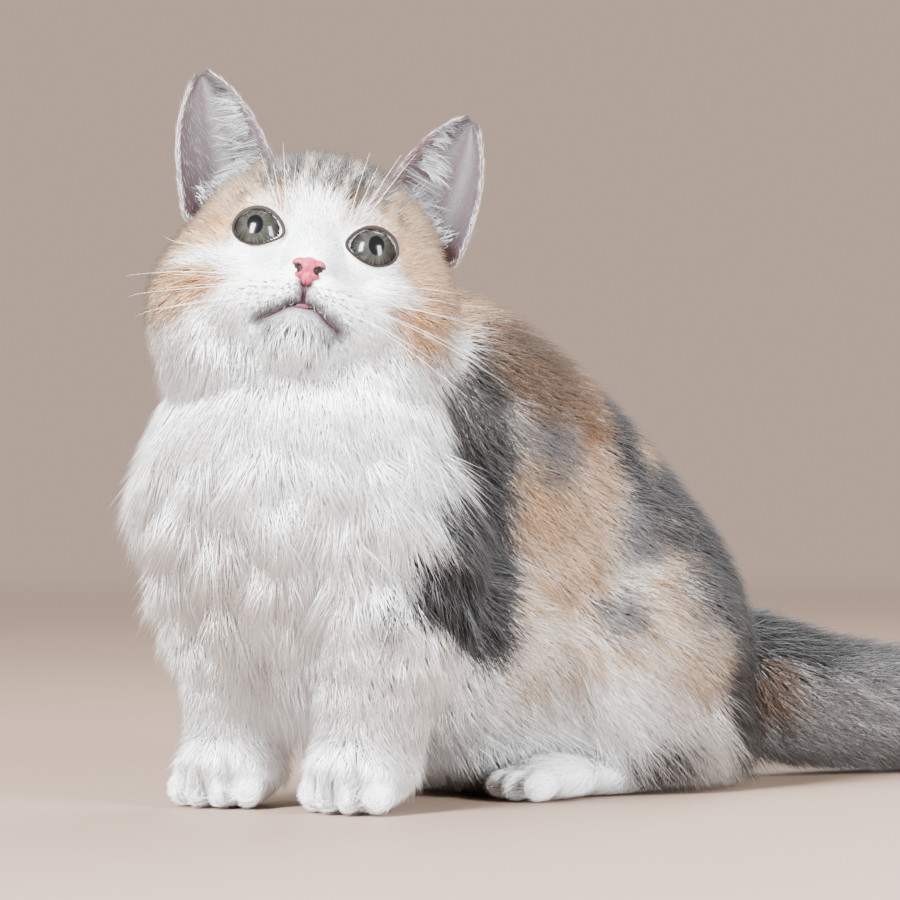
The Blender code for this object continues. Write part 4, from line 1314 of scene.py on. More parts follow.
# ---------------------------------------------------------------- fur
@dataclass(frozen=True)
class Strand:
    """A closed tapered hair lock, one long along X, widest at a ring of three corners."""

    name: str = "short_strand"
    widest: float = 0.32
    half: float = 0.5
    flatness: float = 0.4

    def build(self) -> bpy.types.Object:
        """Makes the strand with its place along, its rise and its own patch.

        Returns:
            A helper object, dropped once the coat has grown.
        """
        bm = bmesh.new()
        patch = bm.loops.layers.uv.new("patch")
        root = bm.verts.new((0, 0, 0))
        ring = [bm.verts.new((self.widest, self.half * math.cos(a),
                              self.half * self.flatness * math.sin(a)))
                for a in (math.radians(90 + 120 * i) for i in range(3))]
        tip = bm.verts.new((1, 0, 0))
        for i in range(3):
            j = (i + 1) % 3
            for corners, across in (((root, ring[j], ring[i]), (0.5, 1, 0)),
                                    ((ring[i], ring[j], tip), (0, 1, 0.5))):
                for loop in bm.faces.new(corners).loops:
                    share = across[corners.index(loop.vert)]
                    loop[patch].uv = (loop.vert.co.x, (i + share) / 3)
        bmesh.ops.recalc_face_normals(bm, faces=bm.faces)
        obj = object_of(bm, self.name)
        points = points_of(obj.data)
        store(obj.data, along=points[:, 0], rise=points[:, 2])
        return obj


class HairTree(Graph):
    """The node tree that plants strands on a skin and lays them along it."""

    SIZES = (("Spacing", 0.001), ("Density", 1e6), ("Clump Size", 0.006), ("Clump", 0.4),
             ("Sway", 0.1), ("Swirl", 0.3), ("Follow", 0.9), ("Sink", 0.0007), ("Patch", 0.003))

    def __init__(self) -> None:
        """Makes the tree with its inputs and wires it."""
        tree = bpy.data.node_groups.new("hair_growth", "GeometryNodeTree")
        super().__init__(tree)
        tree.is_modifier = True
        for name, kind in (("Skin", "Geometry"), ("Strand", "Object"), ("Hide", "Material"),
                           ("Seed", "Int")):
            tree.interface.new_socket(name, in_out="INPUT", socket_type=f"NodeSocket{kind}")
        for name, value in self.SIZES:
            socket = tree.interface.new_socket(name, in_out="INPUT", socket_type="NodeSocketFloat")
            socket.default_value = value
        tree.interface.new_socket("Coat", in_out="OUTPUT", socket_type="NodeSocketGeometry")
        entry = tree.nodes.new("NodeGroupInput")
        self.given = {socket.name: Wire(self, socket) for socket in entry.outputs if socket.name}
        self._grow()

    def kept(self, name: str, kind: str = "FLOAT_VECTOR") -> Wire:
        """A named attribute's reading."""
        return self.node("GeometryNodeInputNamedAttribute", {"Name": name}, data_type=kind)

    def amount(self, name: str) -> Wire:
        """A named number's reading."""
        return self.kept(name, "FLOAT")

    def keep(self, geometry: Wire, name: str, value: object, kind: str = "FLOAT",
             domain: str = "POINT") -> Wire:
        """Stores a value under a name on the geometry."""
        return self.node("GeometryNodeStoreNamedAttribute",
                         {"Geometry": geometry, "Name": name, "Value": value},
                         data_type=kind, domain=domain)

    def chance(self, low: float, high: float, seed: int) -> Wire:
        """A random number for each root."""
        return self.node("FunctionNodeRandomValue", {2: low, 3: high, "Seed": seed}, 1,
                         data_type="FLOAT")

    def _grow(self) -> None:
        """Wires the whole tree."""
        skin = self.given["Skin"]
        roots = self.node("GeometryNodeDistributePointsOnFaces",
                          {"Mesh": skin, "Distance Min": self.given["Spacing"],
                           "Density Max": self.given["Density"],
                           "Density Factor": self.amount("zone"),
                           "Seed": self.given["Seed"]},
                          distribute_method="POISSON")
        place = self.node("GeometryNodeInputPosition")
        roots = self.keep(roots, "root", place, "FLOAT_VECTOR")
        roots = self.keep(roots, "chance", self.chance(0.0, 1.0, 3))
        roots = self.keep(roots, "bend", self.chance(-1.0, 1.0, 5))
        roots = self.keep(roots, "patch_root", self.kept(BAKE_MAP), "FLOAT_VECTOR")
        lie, up = self.kept("lie"), self.unit(self.kept("up"))
        side = self.cross(up, lie)
        swirl = (self.noise(place, 0.014) - 0.5) * self.given["Swirl"] * 2.0
        heading = lie + side * (swirl + self.chance(-0.5, 0.5, 9) * self.given["Sway"])
        turn = self.node("FunctionNodeAxesToRotation",
                         {"Primary Axis": heading, "Secondary Axis": up},
                         primary_axis="X", secondary_axis="Z")
        length = self.amount("length") * self.chance(0.72, 1.12, 13)
        width = self.amount("width") * self.chance(0.8, 1.2, 17)
        size = self.node("ShaderNodeCombineXYZ", {"X": length, "Y": width, "Z": width})
        strand = self.node("GeometryNodeObjectInfo", {"Object": self.given["Strand"]}, "Geometry")
        coat = self.node("GeometryNodeInstanceOnPoints",
                         {"Points": roots, "Instance": strand, "Rotation": turn, "Scale": size})
        coat = self.node("GeometryNodeRealizeInstances", {"Geometry": coat})
        coat = self.node("GeometryNodeSetPosition",
                         {"Geometry": coat, "Position": self._laid(skin)})
        patch = (self.kept("patch") - (0.5, 0.5, 0.0)) * self.given["Patch"]
        coat = self.keep(coat, BAKE_MAP, self.kept("patch_root") + patch, "FLOAT2", "CORNER")
        for name in ("lie", "up", "length", "stand", "width", "rise", "patch", "patch_root",
                     "zone", "bend", "cling"):
            coat = self.node("GeometryNodeRemoveAttribute", {"Geometry": coat, "Name": name})
        coat = self.node("GeometryNodeSetMaterial",
                         {"Geometry": coat, "Material": self.given["Hide"]})
        exit_ = self.tree.nodes.new("NodeGroupOutput")
        self.tree.links.new(coat.socket, exit_.inputs[0])

    def _laid(self, skin: Wire) -> Wire:
        """Each corner's place once the strand is clumped and laid along the skin."""
        place = self.node("GeometryNodeInputPosition")
        root, along = self.kept("root"), self.amount("along")
        lie, up = self.kept("lie"), self.unit(self.kept("up"))
        cell = self.node("ShaderNodeTexVoronoi",
                         {"Vector": root, "Scale": 1 / self.given["Clump Size"]}, "Position")
        lock = self.node("ShaderNodeTexVoronoi",
                         {"Vector": root, "Scale": 2.6 / self.given["Clump Size"]}, "Position")
        toward = (cell - root) * 0.6 + (lock - root) * 0.7
        toward = toward - up * self.dot(toward, up)
        pull = along ** 1.4 * self.given["Clump"] * (self.amount("chance") * 0.6 + 0.7)
        drift = self.cross(up, lie) * self.amount("length") * self.amount("bend")
        moved = place + toward * pull + drift * along ** 2.0 * self.given["Sway"]
        near = self.node("GeometryNodeSampleNearestSurface",
                         {"Mesh": skin, "Value": self.node("GeometryNodeInputPosition"),
                          "Sample Position": moved}, data_type="FLOAT_VECTOR")
        out = self.unit(self.node("GeometryNodeSampleNearestSurface",
                                  {"Mesh": skin, "Value": self.kept("up"),
                                   "Sample Position": moved}, data_type="FLOAT_VECTOR"))
        sink = self.given["Sink"]
        tip = self.amount("stand") * (self.amount("chance") * 0.55 + 0.6)
        height = (tip + sink) * along ** 0.8 - sink + self.amount("rise") * self.amount("width")
        hugged = near + out * height
        cling = self.amount("cling") * self.given["Follow"]
        free = moved + out * (height * 0.4)
        laid = free + (hugged - free) * cling
        return self.vector("MAXIMUM", laid, (-9.0, -9.0, FLOOR_GAP))


@dataclass(frozen=True)
class Coat:
    """One piece of the coat, in millimetres: where it grows and how."""

    name: str
    slot: str
    spacing: float
    clump: float = 0.45
    cell: float = 6.0
    sway: float = 0.12
    swirl: float = 0.3
    follow: float = 0.92
    sink: float = 0.7
    seed: int = 1
    stretches: tuple = ()
    heights: tuple = (-math.inf, math.inf)

    def grow(self, tree: HairTree, skin: bpy.types.Object, zone: np.ndarray,
             material: bpy.types.Material) -> bpy.types.Object:
        """Grows the coat on a zone of the skin.

        Args:
            tree: the node tree.
            skin: what it grows on.
            zone: the density on each vertex.
            material: the strands' material.

        Returns:
            The finished piece.
        """
        store(skin.data, zone=zone)
        strand = Strand().build()
        modifier = skin.modifiers.new(self.name, "NODES")
        modifier.node_group = tree.tree
        values = {"Strand": strand, "Hide": material, "Seed": self.seed,
                  "Spacing": self.spacing * MM, "Density": 3.0 / (self.spacing * MM) ** 2,
                  "Clump Size": self.cell * MM, "Clump": self.clump, "Sway": self.sway,
                  "Swirl": self.swirl, "Follow": self.follow, "Sink": self.sink * MM}
        for item in tree.tree.interface.items_tree:
            if item.item_type == "SOCKET" and item.in_out == "INPUT" and item.name in values:
                modifier[item.identifier] = values[item.name]
        graph = bpy.context.evaluated_depsgraph_get()
        mesh = bpy.data.meshes.new_from_object(skin.evaluated_get(graph))
        skin.modifiers.clear()
        dropped(strand)
        mesh.name = self.name
        return dress(linked(mesh, self.name), material, self.slot)


# ---------------------------------------------------------------- ears
@dataclass
class Ears:
    """Both ears: thin cupped shells with fur behind and long hair inside."""

    pose: Pose
    inner_base: Vector = spot(16.5, -3.0, 37.5)
    outer_base: Vector = spot(40.5, 5.0, 20.0)
    tip: Vector = spot(40.5, 4.0, 67.0)
    lean: float = -3.4
    cup: float = 10.0
    wall: float = 1.2
    across: int = 30
    up: int = 38
    tufts: int = 64
    hairs: int = 9
    seed: int = 5

    def build(self, material: bpy.types.Material) -> bpy.types.Object:
        """Makes the shells with their fields and bake map.

        Args:
            material: the ears' skin.

        Returns:
            The ears as one piece.
        """
        bm = bmesh.new()
        fields = []
        for side in Side:
            part = bmesh.new()
            bmesh.ops.create_grid(part, x_segments=self.across, y_segments=self.up, size=1)
            for vertex in part.verts:
                s, t = vertex.co.x, 0.6 * vertex.co.y + 0.38
                fields.append((s, t, side.value))
                vertex.co = self.pose.head @ (self._place(s, t, side) * MM)
            mesh = bpy.data.meshes.new("ear_part")
            part.to_mesh(mesh)
            part.free()
            bm.from_mesh(mesh)
            bpy.data.meshes.remove(mesh)
        bmesh.ops.recalc_face_normals(bm, faces=bm.faces)
        obj = object_of(bm, "ears")
        store(obj.data, **dict(zip(("s", "t", "side"), np.array(fields).T)))
        applied(obj, ("SOLIDIFY", {"thickness": self.wall * MM, "offset": 0.0,
                                   "use_even_offset": True}),
                ROUNDED)
        self._fields(obj)
        return finished(obj, material, "ear_coat", "ear_left", "ear_right")

    def _place(self, s: float, t: float, side: Side) -> Vector:
        """A point of the shell's middle, in the head's frame, in millimetres."""
        rise = max(t, 0.0)
        swell = math.sin(math.pi * min(rise, 1))
        narrow = max(1 - t, 0.0) ** (1 - 0.35 * rise)
        middle = (self.inner_base + self.outer_base) / 2
        centre = middle.lerp(self.tip, t)
        inner = centre + (self.inner_base - middle) * narrow + Vector((-2.4, 0, 1.8)) * swell
        outer = centre + (self.outer_base - middle) * narrow + Vector((3.6, 0, 1.0)) * swell
        outer.x += min(t, 0) * 75
        point = inner.lerp(outer, (s + 1) / 2)
        point.y += self.cup * (1 - s * s) * (1.05 - rise) ** 0.75 + 1.5 * rise
        return Vector((point.x * side.value + self.lean * rise, point.y, point.z))

    def _fields(self, obj: bpy.types.Object) -> None:
        """Keeps the lie, the sizes and the pigments on the shells."""
        mesh = obj.data
        edges, points, normals = edges_of(mesh), points_of(mesh), normals_of(mesh)
        s, t, side = (np.array([item.value for item in mesh.attributes[name].data])
                      for name in ("s", "t", "side"))
        turn = np.array(self.pose.head.to_3x3())
        faces_front = (normals @ turn)[:, 1] < 0.0
        rim = np.maximum(np.abs(s), t + 0.02)
        back = softened(np.where(faces_front, 0.0, 1.0), edges, 2)
        lie = np.zeros_like(points)
        for sign in (1, -1):
            chosen = side * sign > 0
            tip = self.tip.copy()
            tip.x = tip.x * sign + self.lean
            goal = np.array(self.pose.head @ (tip * MM))
            lie[chosen] = (goal - points)[chosen]
        lie = units(lie)
        outward = np.stack((side, *(np.full(len(side), share) for share in (0.15, 0.25))), axis=1)
        outward = outward @ turn.T
        inside = faces_front & (rim < 0.97)
        lie[inside] = lie[inside] * 0.45 + outward[inside] * (0.9 - 0.4 * t[inside])[:, None]
        lie = units(lie - normals * np.sum(lie * normals, axis=1)[:, None])
        edge = rim > 0.94
        sizes = {"length": np.where(edge, 2.6, np.where(faces_front, 3.6, 5.5)),
                 "stand": np.where(edge, 0.7, np.where(faces_front, 0.8, 1.5)),
                 "width": np.where(edge, 0.14, np.where(faces_front, 0.13, 0.24))}
        sizes = {name: softened(values, edges, 2) * MM for name, values in sizes.items()}
        dark = back * step(rim, 1.02, 0.8)
        inner = (1 - back) * step(s, -0.86, -0.96)
        pigments = {"cream": back * 0.45, "orange": back * 0.15, "brown": dark * 0.40,
                    "grey": (1 - back) * (0.40 + 0.5 * step(rim, 0.99, 0.93)) + inner * 0.3,
                    "dark": dark * (0.25 + 0.4 * step(t, 0.6, 0.9)) + 0.9 * step(t, 0.84, 0.94)
                    + inner * 0.34,
                    "rose": np.zeros(len(s))}
        # depth: how far down into the cup a place lies, by which the ear skin darkens as painted
        # shade.
        store(mesh, **sizes, cling=np.ones(len(s)), lie=lie, up=normals, root=points,
              along=np.full(len(s), 0.3), chance=np.full(len(s), 0.5),
              depth=softened(step(rim, 1.0, 0.2) * step(t, 0.95, 0.2), edges, 2), back=back,
              **pigments)
        self.zones = {
            "short": np.where(faces_front & (rim < 0.93), 0.16, 1.0) * (t > -0.15),
            "tuft": (faces_front & (np.abs(s + 0.1) < 0.6) & (t > -0.05)
                     & (t < 0.10)).astype(float)}

    def furnish(self, material: bpy.types.Material) -> None:
        """Grows long pale hairs that sweep from the inner edge across the cup.

        Args:
            material: the hairs' material.
        """
        dice = random.Random(self.seed)
        bm = bmesh.new()
        along, chance, roots, dark = [], [], [], []
        rings = 7
        for side in Side:
            for number in range(self.tufts * self.hairs):
                if number % self.hairs == 0:
                    low = dice.random() ** 1.25
                    home = Vector((-0.95 + dice.uniform(0, 0.7) * (1 - low), 0.03 + 0.78 * low))
                    span = dice.uniform(0.55, 1.05) * (1 - 0.25 * low)
                    climb, droop = dice.uniform(0.08, 0.20), dice.uniform(0.0, 0.14)
                s, t = home.x + dice.uniform(-0.05, 0.05), home.y + dice.uniform(-0.03, 0.03)
                reach = span * dice.uniform(0.7, 1.1)
                lift = (0.9 + dice.uniform(0, 1.1)) * (1 - 0.5 * low)
                line = []
                for i in range(rings):
                    u = i / (rings - 1)
                    gather = 1 - 0.4 * u
                    point = self._place(home.x + (s - home.x) * gather + reach * u,
                                        home.y + (t - home.y) * gather + climb * u - droop * u * u,
                                        side)
                    point.y -= self.wall / 2 + lift * math.sin(2.5 * u)
                    line.append(self.pose.head @ (point * MM))
                sizes = [0.068 * MM * (1 - 0.85 * i / (rings - 1)) for i in range(rings)]
                count, = joined(bm, tube("ear_hair", line, sizes, 3))
                along += [0.35 + 0.6 * (i // 3) / rings for i in range(count)]
                chance += [dice.uniform(0.1, 1.0)] * count
                roots += [tuple(line[0])] * count
                dark += [0.7 * (low > 0.86)] * count
        obj = object_of(bm, "ear_furnishings")
        store(obj.data, along=np.array(along), chance=np.array(chance), root=np.array(roots),
              dark=np.array(dark), grey=np.full(len(along), 0.68))
        finished(obj, material, "ear_coat")

    def lengthen(self, obj: bpy.types.Object, length: float, stand: float, width: float) -> None:
        """Sets the hair's sizes before the long hair is grown."""
        count = len(obj.data.vertices)
        values = {"length": length * MM, "stand": stand * MM, "width": width * MM, "dark": 0.0,
                  "brown": 0.0, "grey": 0.45, "orange": 0.0, "cream": 0.0}
        store(obj.data, **{name: np.full(count, value) for name, value in values.items()})


# ---------------------------------------------------------------- eyes
@dataclass
class Eye:
    """One eyeball with its cornea, and the lids round it, in millimetres."""

    pose: Pose
    side: Side
    radius: float = 8.6
    cornea: float = 0.55

    def build(self, iris: bpy.types.Material, lids: bpy.types.Material) -> None:
        """Makes the eyeball and the lids.

        Args:
            iris: the eyeball's material.
            lids: the lids' material.
        """
        matrix = self.pose.eye(self.side)
        bm = bmesh.new()
        bmesh.ops.create_uvsphere(bm, u_segments=64, v_segments=48, radius=self.radius)
        gaze = []
        upright = Matrix.Rotation(math.radians(12 - 14 * self.side.value), 3, "Y")
        for vertex in bm.verts:
            x, y, z = vertex.co
            local = Vector((x, -z, y))
            out = math.hypot(local.x, local.z)
            bulge = self.cornea * math.exp(-(out / 5.2) ** 4) if local.y < 0 else 0.0
            gaze.append(tuple(upright @ local))
            vertex.co = matrix @ (local * (1 + bulge / self.radius) * MM)
        obj = object_of(bm, f"eyeball_{self.side.word}")
        store(obj.data, gaze=np.array(gaze))
        finished(obj, iris, "iris", f"eye_{self.side.word}")
        self._lids(matrix, lids)

    def _lids(self, matrix: Matrix, material: bpy.types.Material) -> None:
        """A moist rim along the lids' edge, widest over the eye."""
        around, steps = 72, 9
        bm = bmesh.new()
        rows, dark = [], []
        for i in range(around):
            angle = 2 * math.pi * i / around
            x, z = math.cos(angle), math.sin(angle)
            rise = max(z, 0.0)
            spread = 0.08 + 0.12 * rise ** 1.5
            corner = max(-x, 0.0) ** 3
            if x < 0:
                z *= 1 - 0.25 * x * x
                x *= 1.06
            row = []
            for j in range(steps):
                turn = math.pi * 2 * j / steps
                across = 0.5 - 0.5 * math.cos(turn)
                lift = 0.40 * math.sin(turn) + 0.45 + 0.35 * math.sin(math.pi * across)
                lift += 0.25 * across + 0.7 * corner
                share = 0.965 + spread * across
                px, pz = x * OPENING_WIDE * share * self.side.value, z * OPENING_HIGH * share
                py = -math.sqrt(max(self.radius ** 2 - px * px - pz * pz, 4.0))
                point = Vector((px, py, pz)).normalized() * (self.radius + lift)
                row.append(bm.verts.new(matrix @ (point * MM)))
                dark.append(1.0 - float(step(np.array([across * spread]), 0.07, 0.15)[0])
                            + 0.35 * corner)
            rows.append(row)
        for i in range(around):
            low, high = rows[i], rows[(i + 1) % around]
            for j in range(steps):
                k = (j + 1) % steps
                bm.faces.new((low[j], low[k], high[k], high[j]))
        bmesh.ops.recalc_face_normals(bm, faces=bm.faces)
        obj = object_of(bm, f"lids_{self.side.word}")
        store(obj.data, dark=np.clip(np.array(dark), 0, 1) * 0.93)
        applied(obj, ROUNDED)
        finished(obj, material, "head_coat")


# ---------------------------------------------------------------- muzzle
@dataclass
class Muzzle:
    """Nose leather, lips, whiskers and the dark roots of the whisker pads."""

    pose: Pose
    skin: bpy.types.Object
    seed: int = 17
    margin: float = 9 * MM

    def __post_init__(self) -> None:
        """Prepares the feeler for the skin's surface and the dice."""
        bm = bmesh.new()
        bm.from_mesh(self.skin.data)
        self.tree = BVHTree.FromBMesh(bm)
        bm.free()
        self.dice = random.Random(self.seed)

    def on_skin(self, point: Vector) -> tuple:
        """Where a place in the head's frame, seen from the muzzle's core, meets the skin."""
        head = self.pose.head
        origin = head @ (Vector((0, -20, -14)) * MM)
        goal = head @ (point * MM)
        direction = (goal - origin).normalized()
        hit, normal, _, _ = self.tree.ray_cast(origin + direction * 0.06, -direction)
        if hit is None:
            return goal, direction
        return hit, normal

    def nose(self, material: bpy.types.Material) -> None:
        """The nose leather with two slanted nostrils."""
        clay = Clay()
        head = self.pose.head
        for side in Side:
            sign = side.value
            clay.ball(head, (sign * 2.5, -38.0, -8.1), (2.4, 2.9, 2.1), detail=4)
            clay.ball(head, (sign * 1.9, -37.9, -10.1), (2.0, 2.6, 2.0), detail=4)
        clay.ball(head, (0, -38.9, -8.7), (3.0, 3.0, 2.9), detail=4)
        clay.ball(head, (0, -38.2, -11.5), (1.4, 2.6, 2.4), detail=4)
        obj = clay.fused("nose_pad", 0.28 * MM, 4)
        mesh = obj.data
        points, normals = points_of(mesh), normals_of(mesh)
        local = self.pose.seen_from(head, points)
        dark, front = np.zeros(len(points)), local[:, 1] < -35.0
        for side in Side:
            x = local[:, 0] * side.value - 3.0
            z = local[:, 2] + 9.9
            a, b = x * 0.75 + z * 0.66, -x * 0.66 + z * 0.75
            # Nostrils: a shallow dip, darkened with painted shade for the opening.
            hole = step(np.hypot(a / 1.45, b / 1.15), 1.2, 0.6) * front
            comma = step(np.hypot((a - 1.3) / 1.9, (b + 0.1) / 0.65), 1.1, 0.45) * front
            cut = np.maximum(hole, comma * 0.8)
            dark = np.maximum(dark, cut)
            points -= normals * (cut * 0.9)[:, None] * MM
        crease = np.exp(-(local[:, 0] / 0.32) ** 2) * step(local[:, 2], -9.6, -11.5)
        points -= normals * (crease * 0.35)[:, None] * MM
        moved_to(mesh, points)
        # dark: painted shade in the nostrils' openings and along the middle crease below the nose.
        store(mesh, dark=np.clip(dark * 1.9 + crease * 0.3, 0, 1))
        finished(obj, material, "nose_leather", "nose")

    def lips(self, material: bpy.types.Material) -> None:
        """Thin dark lip lines and a small pink lower lip in the fold."""
        pieces = []
        for index, route in enumerate(MOUTH_ROUTES):
            line = [self.on_skin(point)[0]
                    for point in curve_through([Vector(p) for p in route], 14)]
            sizes = [(0.50 if index else 0.30) * MM * (1.0 - 0.8 * (i / 13) ** 2 * (index > 0))
                     for i in range(14)]
            pieces.append(tube(f"lip_{index}", line, sizes, 8))
        clay = Clay()
        clay.ball(self.pose.head, (0.2, -34.4, -18.9), (2.0, 1.2, 0.8), detail=4)
        pieces.append(clay.fused("lip_low", 0.3 * MM, 2))
        bm = bmesh.new()
        # The lines' dark is partly the lips' own dark skin, partly painted shade of the mouth's
        # fold.
        dark = np.repeat((0.5, 0.96, 0.96, 0.7), joined(bm, *pieces))
        obj = object_of(bm, "lips")
        store(obj.data, dark=dark)
        finished(obj, material, "nose_leather")

    def whiskers(self, material: bpy.types.Material) -> None:
        """Whiskers on both pads and over both eyes."""
        bm = bmesh.new()
        along = []
        for side in Side:
            sign = side.value
            for row in range(3):
                for column in range(3):
                    root = Vector((sign * (6.0 + column * 3.0), -38 + column * 1.8,
                                   -13.8 - row * 2.2 + column * 0.3))
                    length = self.dice.uniform(34, 52) * (1 - 0.09 * abs(row - 1)) - column * 1.5
                    heading = Vector((sign * (0.85 + 0.05 * column), -0.25 + 0.22 * column,
                                      0.12 - 0.2 * row + self.dice.uniform(-0.09, 0.09)))
                    self._whisker(bm, along, root, heading, length, 0.065)
            for number in range(4):
                root = Vector((sign * (9.5 + number * 1.6), -31, 14.5 + number * 0.6))
                heading = Vector((sign * (0.1 + 0.14 * number), -0.42, 1.0))
                self._whisker(bm, along, root, heading, self.dice.uniform(17, 27), 0.07)
        obj = object_of(bm, "whiskers")
        store(obj.data, along=np.array(along))
        finished(obj, material, "head_coat")

    def _whisker(self, bm: bmesh.types.BMesh, along: list, root: Vector, heading: Vector,
                 length: float, thickness: float) -> None:
        """Adds one curved tapering whisker."""
        count = 12
        start, _ = self.on_skin(root)
        direction = (self.pose.head.to_3x3() @ heading).normalized()
        droop = Vector((0, 0, -1)) * self.dice.uniform(0.04, 0.16)
        line, sizes = [], []
        for i in range(count):
            t = i / (count - 1)
            point = start + (direction * (length * t - 1.0) + droop * length * t * t) * MM
            line.append(Vector(min(max(value, low - self.margin), high + self.margin)
                               for value, low, high in zip(point, *CAD_BOX)))
            sizes.append(thickness * MM * (1 - 0.85 * t))
        corners, = joined(bm, tube("whisker", line, sizes, 5))
        along += [min(i // 5, count - 1) / (count - 1) for i in range(corners)]

    def pad_roots(self, material: bpy.types.Material) -> None:
        """Rows of short dark hairs where the whiskers grow."""
        bm = bmesh.new()
        for side in Side:
            for row in range(6):
                for column in range(8):
                    out = 3.0 + column * 1.55 + self.dice.uniform(-0.5, 0.5)
                    rise = -13.8 - row * 1.25 - column * 0.12 + self.dice.uniform(-0.4, 0.4)
                    root = Vector((side.value * out, -40 + column * 1.2, rise))
                    if self.dice.random() < 0.16 + 0.05 * row:
                        continue
                    start, normal = self.on_skin(root)
                    lie = self.pose.head.to_3x3() @ Vector((side.value * 0.8, 0.3, -0.35))
                    lie = (lie - normal * lie.dot(normal)).normalized()
                    size = self.dice.uniform(0.16, 0.27)
                    line = [start + (lie * 1.15 * t + normal * (1.25 * t ** 0.6 - 0.1)) * MM
                            for t in (0.0, 0.35, 0.7, 1.0)]
                    joined(bm, tube("pad_root", line, [size * MM * k for k in (1, 1, 0.8, 0.2)], 4))
        obj = object_of(bm, "whisker_roots")
        store(obj.data, dark=np.full(len(obj.data.vertices), 0.7))
        finished(obj, material, "head_coat")


# ---------------------------------------------------------------- studio
@dataclass
class Studio:
    """Pale floor, soft lights and the camera."""

    pose: Pose
    turn: float = math.radians(50)
    distance: float = 1.2
    height: float = 0.105
    focal: float = 171.4
    drop: float = math.atan(10 / 4286)

    def build(self, material: bpy.types.Material) -> None:
        """Sets the floor, the lights, the sky and the camera.

        Args:
            material: the floor's.
        """
        bm = bmesh.new()
        bmesh.ops.create_circle(bm, cap_ends=True, segments=96, radius=6.0)
        ground = object_of(bm, "studio_floor")
        ground.data.materials.append(material)
        sky = bpy.data.worlds.new("studio_sky")
        sky.use_nodes = True
        shade = sky.node_tree.nodes["Background"]
        shade.inputs["Color"].default_value = (*SKY, 1.0)
        shade.inputs["Strength"].default_value = SKY_GLOW
        bpy.context.scene.world = sky
        right = Vector((math.cos(self.turn), math.sin(self.turn), 0))
        forward = Vector((-math.sin(self.turn), math.cos(self.turn), 0))
        focus = self.pose.shift + Vector((0.045, 0, 0.0))
        aim = focus + Vector((0, 0, 0.1))
        for name, place, power, size, tint in (
                ("key", focus - forward * 0.95 - right * 0.75 + Vector((0, 0, 0.80)), 207.0, 0.6,
                 (0.93, 0.975, 1.0)),
                ("fill", focus - forward * 0.9 + right * 0.95 + Vector((0, 0, 0.50)), 84.0, 0.6,
                 (0.92, 0.97, 1.0)),
                ("rim", focus + forward * 0.9 + right * 0.4 + Vector((0, 0, 1.0)), 26.0, 0.8,
                 (1.0, 0.97, 0.94))):
            lamp = bpy.data.lights.new(name, "AREA")
            lamp.energy = power
            lamp.shape = "RECTANGLE"
            lamp.size = size * 0.6
            lamp.size_y = size * 1.5
            lamp.color = tint
            aimed(lamp, place, aim - place)
        data = bpy.data.cameras.new("camera")
        data.sensor_width = 36
        data.lens = self.focal
        data.clip_end = 30
        place = focus - forward * self.distance + Vector((0, 0, self.height))
        look = forward * math.cos(self.drop) - Vector((0, 0, 1)) * math.sin(self.drop)
        bpy.context.scene.camera = aimed(data, place, look)


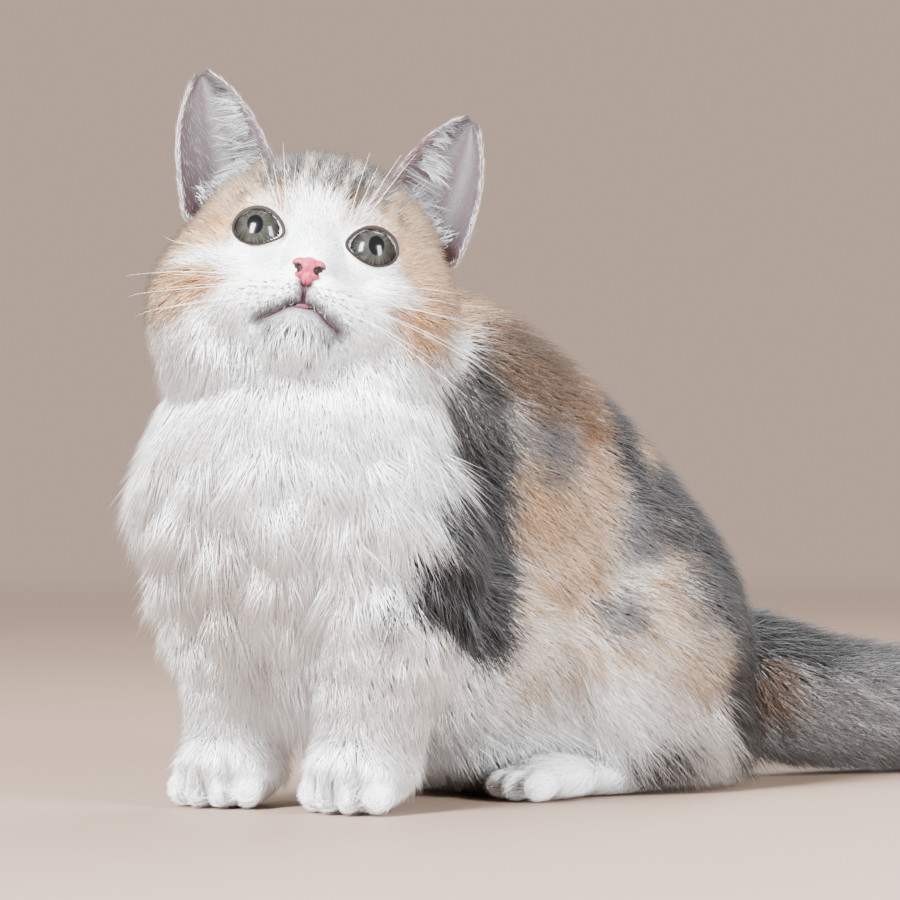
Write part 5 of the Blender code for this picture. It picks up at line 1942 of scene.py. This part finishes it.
COATS = (
    Coat("fur_face", "head_coat", 0.44, 0.25, 2.6, 0.2, 0.2, seed=2, stretches=("FACE", "MUZZLE")),
    Coat("fur_chin", "head_coat", 0.44, 1.0, 5.5, 0.2, 0.6, seed=17, stretches=("CHIN",)),
    Coat("fur_crown", "head_coat", 0.46, 0.4, 3.5, 0.15, 0.2, seed=3, stretches=("CROWN",)),
    Coat("fur_cheeks", "head_coat", 0.48, 0.4, 4.5, 0.2, 0.3, seed=4, stretches=("CHEEK",)),
    Coat("fur_throat", "bib_coat", 0.48, 0.4, 7.0, 0.2, 0.4, 0.9, seed=14, stretches=("THROAT",)),
    Coat("fur_bib_high", "bib_coat", 0.48, 0.75, 11.0, 0.22, 1.2, 0.9, seed=5,
         stretches=("CHEST",), heights=(BIB_SPLIT, math.inf)),
    Coat("fur_bib_low", "bib_coat", 0.49, 0.7, 10.0, 0.22, 1.0, 0.9, seed=6,
         stretches=("CHEST",), heights=(-math.inf, BIB_SPLIT)),
    Coat("fur_back", "back_coat", 0.53, 0.5, 6.5, 0.28, 0.5, seed=7,
         stretches=("TORSO",), heights=(BACK_SPLIT, math.inf)),
    Coat("fur_belly", "back_coat", 0.55, 0.5, 6.5, 0.28, 0.5, seed=8,
         stretches=("TORSO",), heights=(-math.inf, BACK_SPLIT)),
    Coat("fur_rump", "back_coat", 0.54, 0.5, 6.5, 0.28, 0.5, seed=9, stretches=("RUMP",)),
    Coat("fur_haunches", "flank_coat", 0.52, 0.5, 6.5, 0.28, 0.55, seed=10, stretches=("THIGH",)),
    Coat("fur_legs", "leg_coat", 0.54, 0.35, 4.5, 0.18, 0.3, seed=11, stretches=("FORELEG",)),
    Coat("fur_paws", "leg_coat", 0.50, 0.12, 3.0, 0.15, 0.15, seed=12, stretches=("PAW",)),
    Coat("fur_tail", "tail_coat", 0.54, 0.5, 7.0, 0.26, 0.45, 0.9, seed=13, stretches=("TAIL",)))
EAR_FUR = Coat("fur_ears", "ear_coat", 0.50, 0.2, 3.0, 0.2, 0.2, sink=0.3, seed=21)
EAR_TUFTS = Coat("ear_tufts", "ear_coat", 0.52, 0.3, 4.0, 0.3, 0.5, 0.6, sink=0.3, seed=23)


def main() -> None:
    """Builds the kitten and the studio."""
    logging.basicConfig(level=logging.INFO, format="%(message)s")
    pose = Pose()
    pelt = Pelt().build()
    tree = HairTree()
    Studio(pose).build(Ground().build())
    skin = Skin(pose)
    hide = skin.build()
    for coat in COATS:
        coat.grow(tree, hide, skin.mask(coat), pelt)
    flesh = [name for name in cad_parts
             if not name.startswith(("ear_", "eye_")) and name != "nose"]
    dress(hide, pelt, "bib_coat", *flesh)

    ears = Ears(pose)
    shells = ears.build(EarSkin().build())
    EAR_FUR.grow(tree, shells, ears.zones["short"], pelt)
    ears.lengthen(shells, 11.0, 2.6, 0.20)
    EAR_TUFTS.grow(tree, shells, ears.zones["tuft"], pelt)
    ears.furnish(pelt)

    iris = Iris().build()
    lids = LID_SKIN.build()
    for side in Side:
        Eye(pose, side).build(iris, lids)
    muzzle = Muzzle(pose, hide)
    muzzle.nose(Leather().build())
    muzzle.lips(LIP_SKIN.build())
    muzzle.whiskers(Bristle().build())
    muzzle.pad_roots(PAD_ROOT.build())


if __name__ == "__main__":
    main()
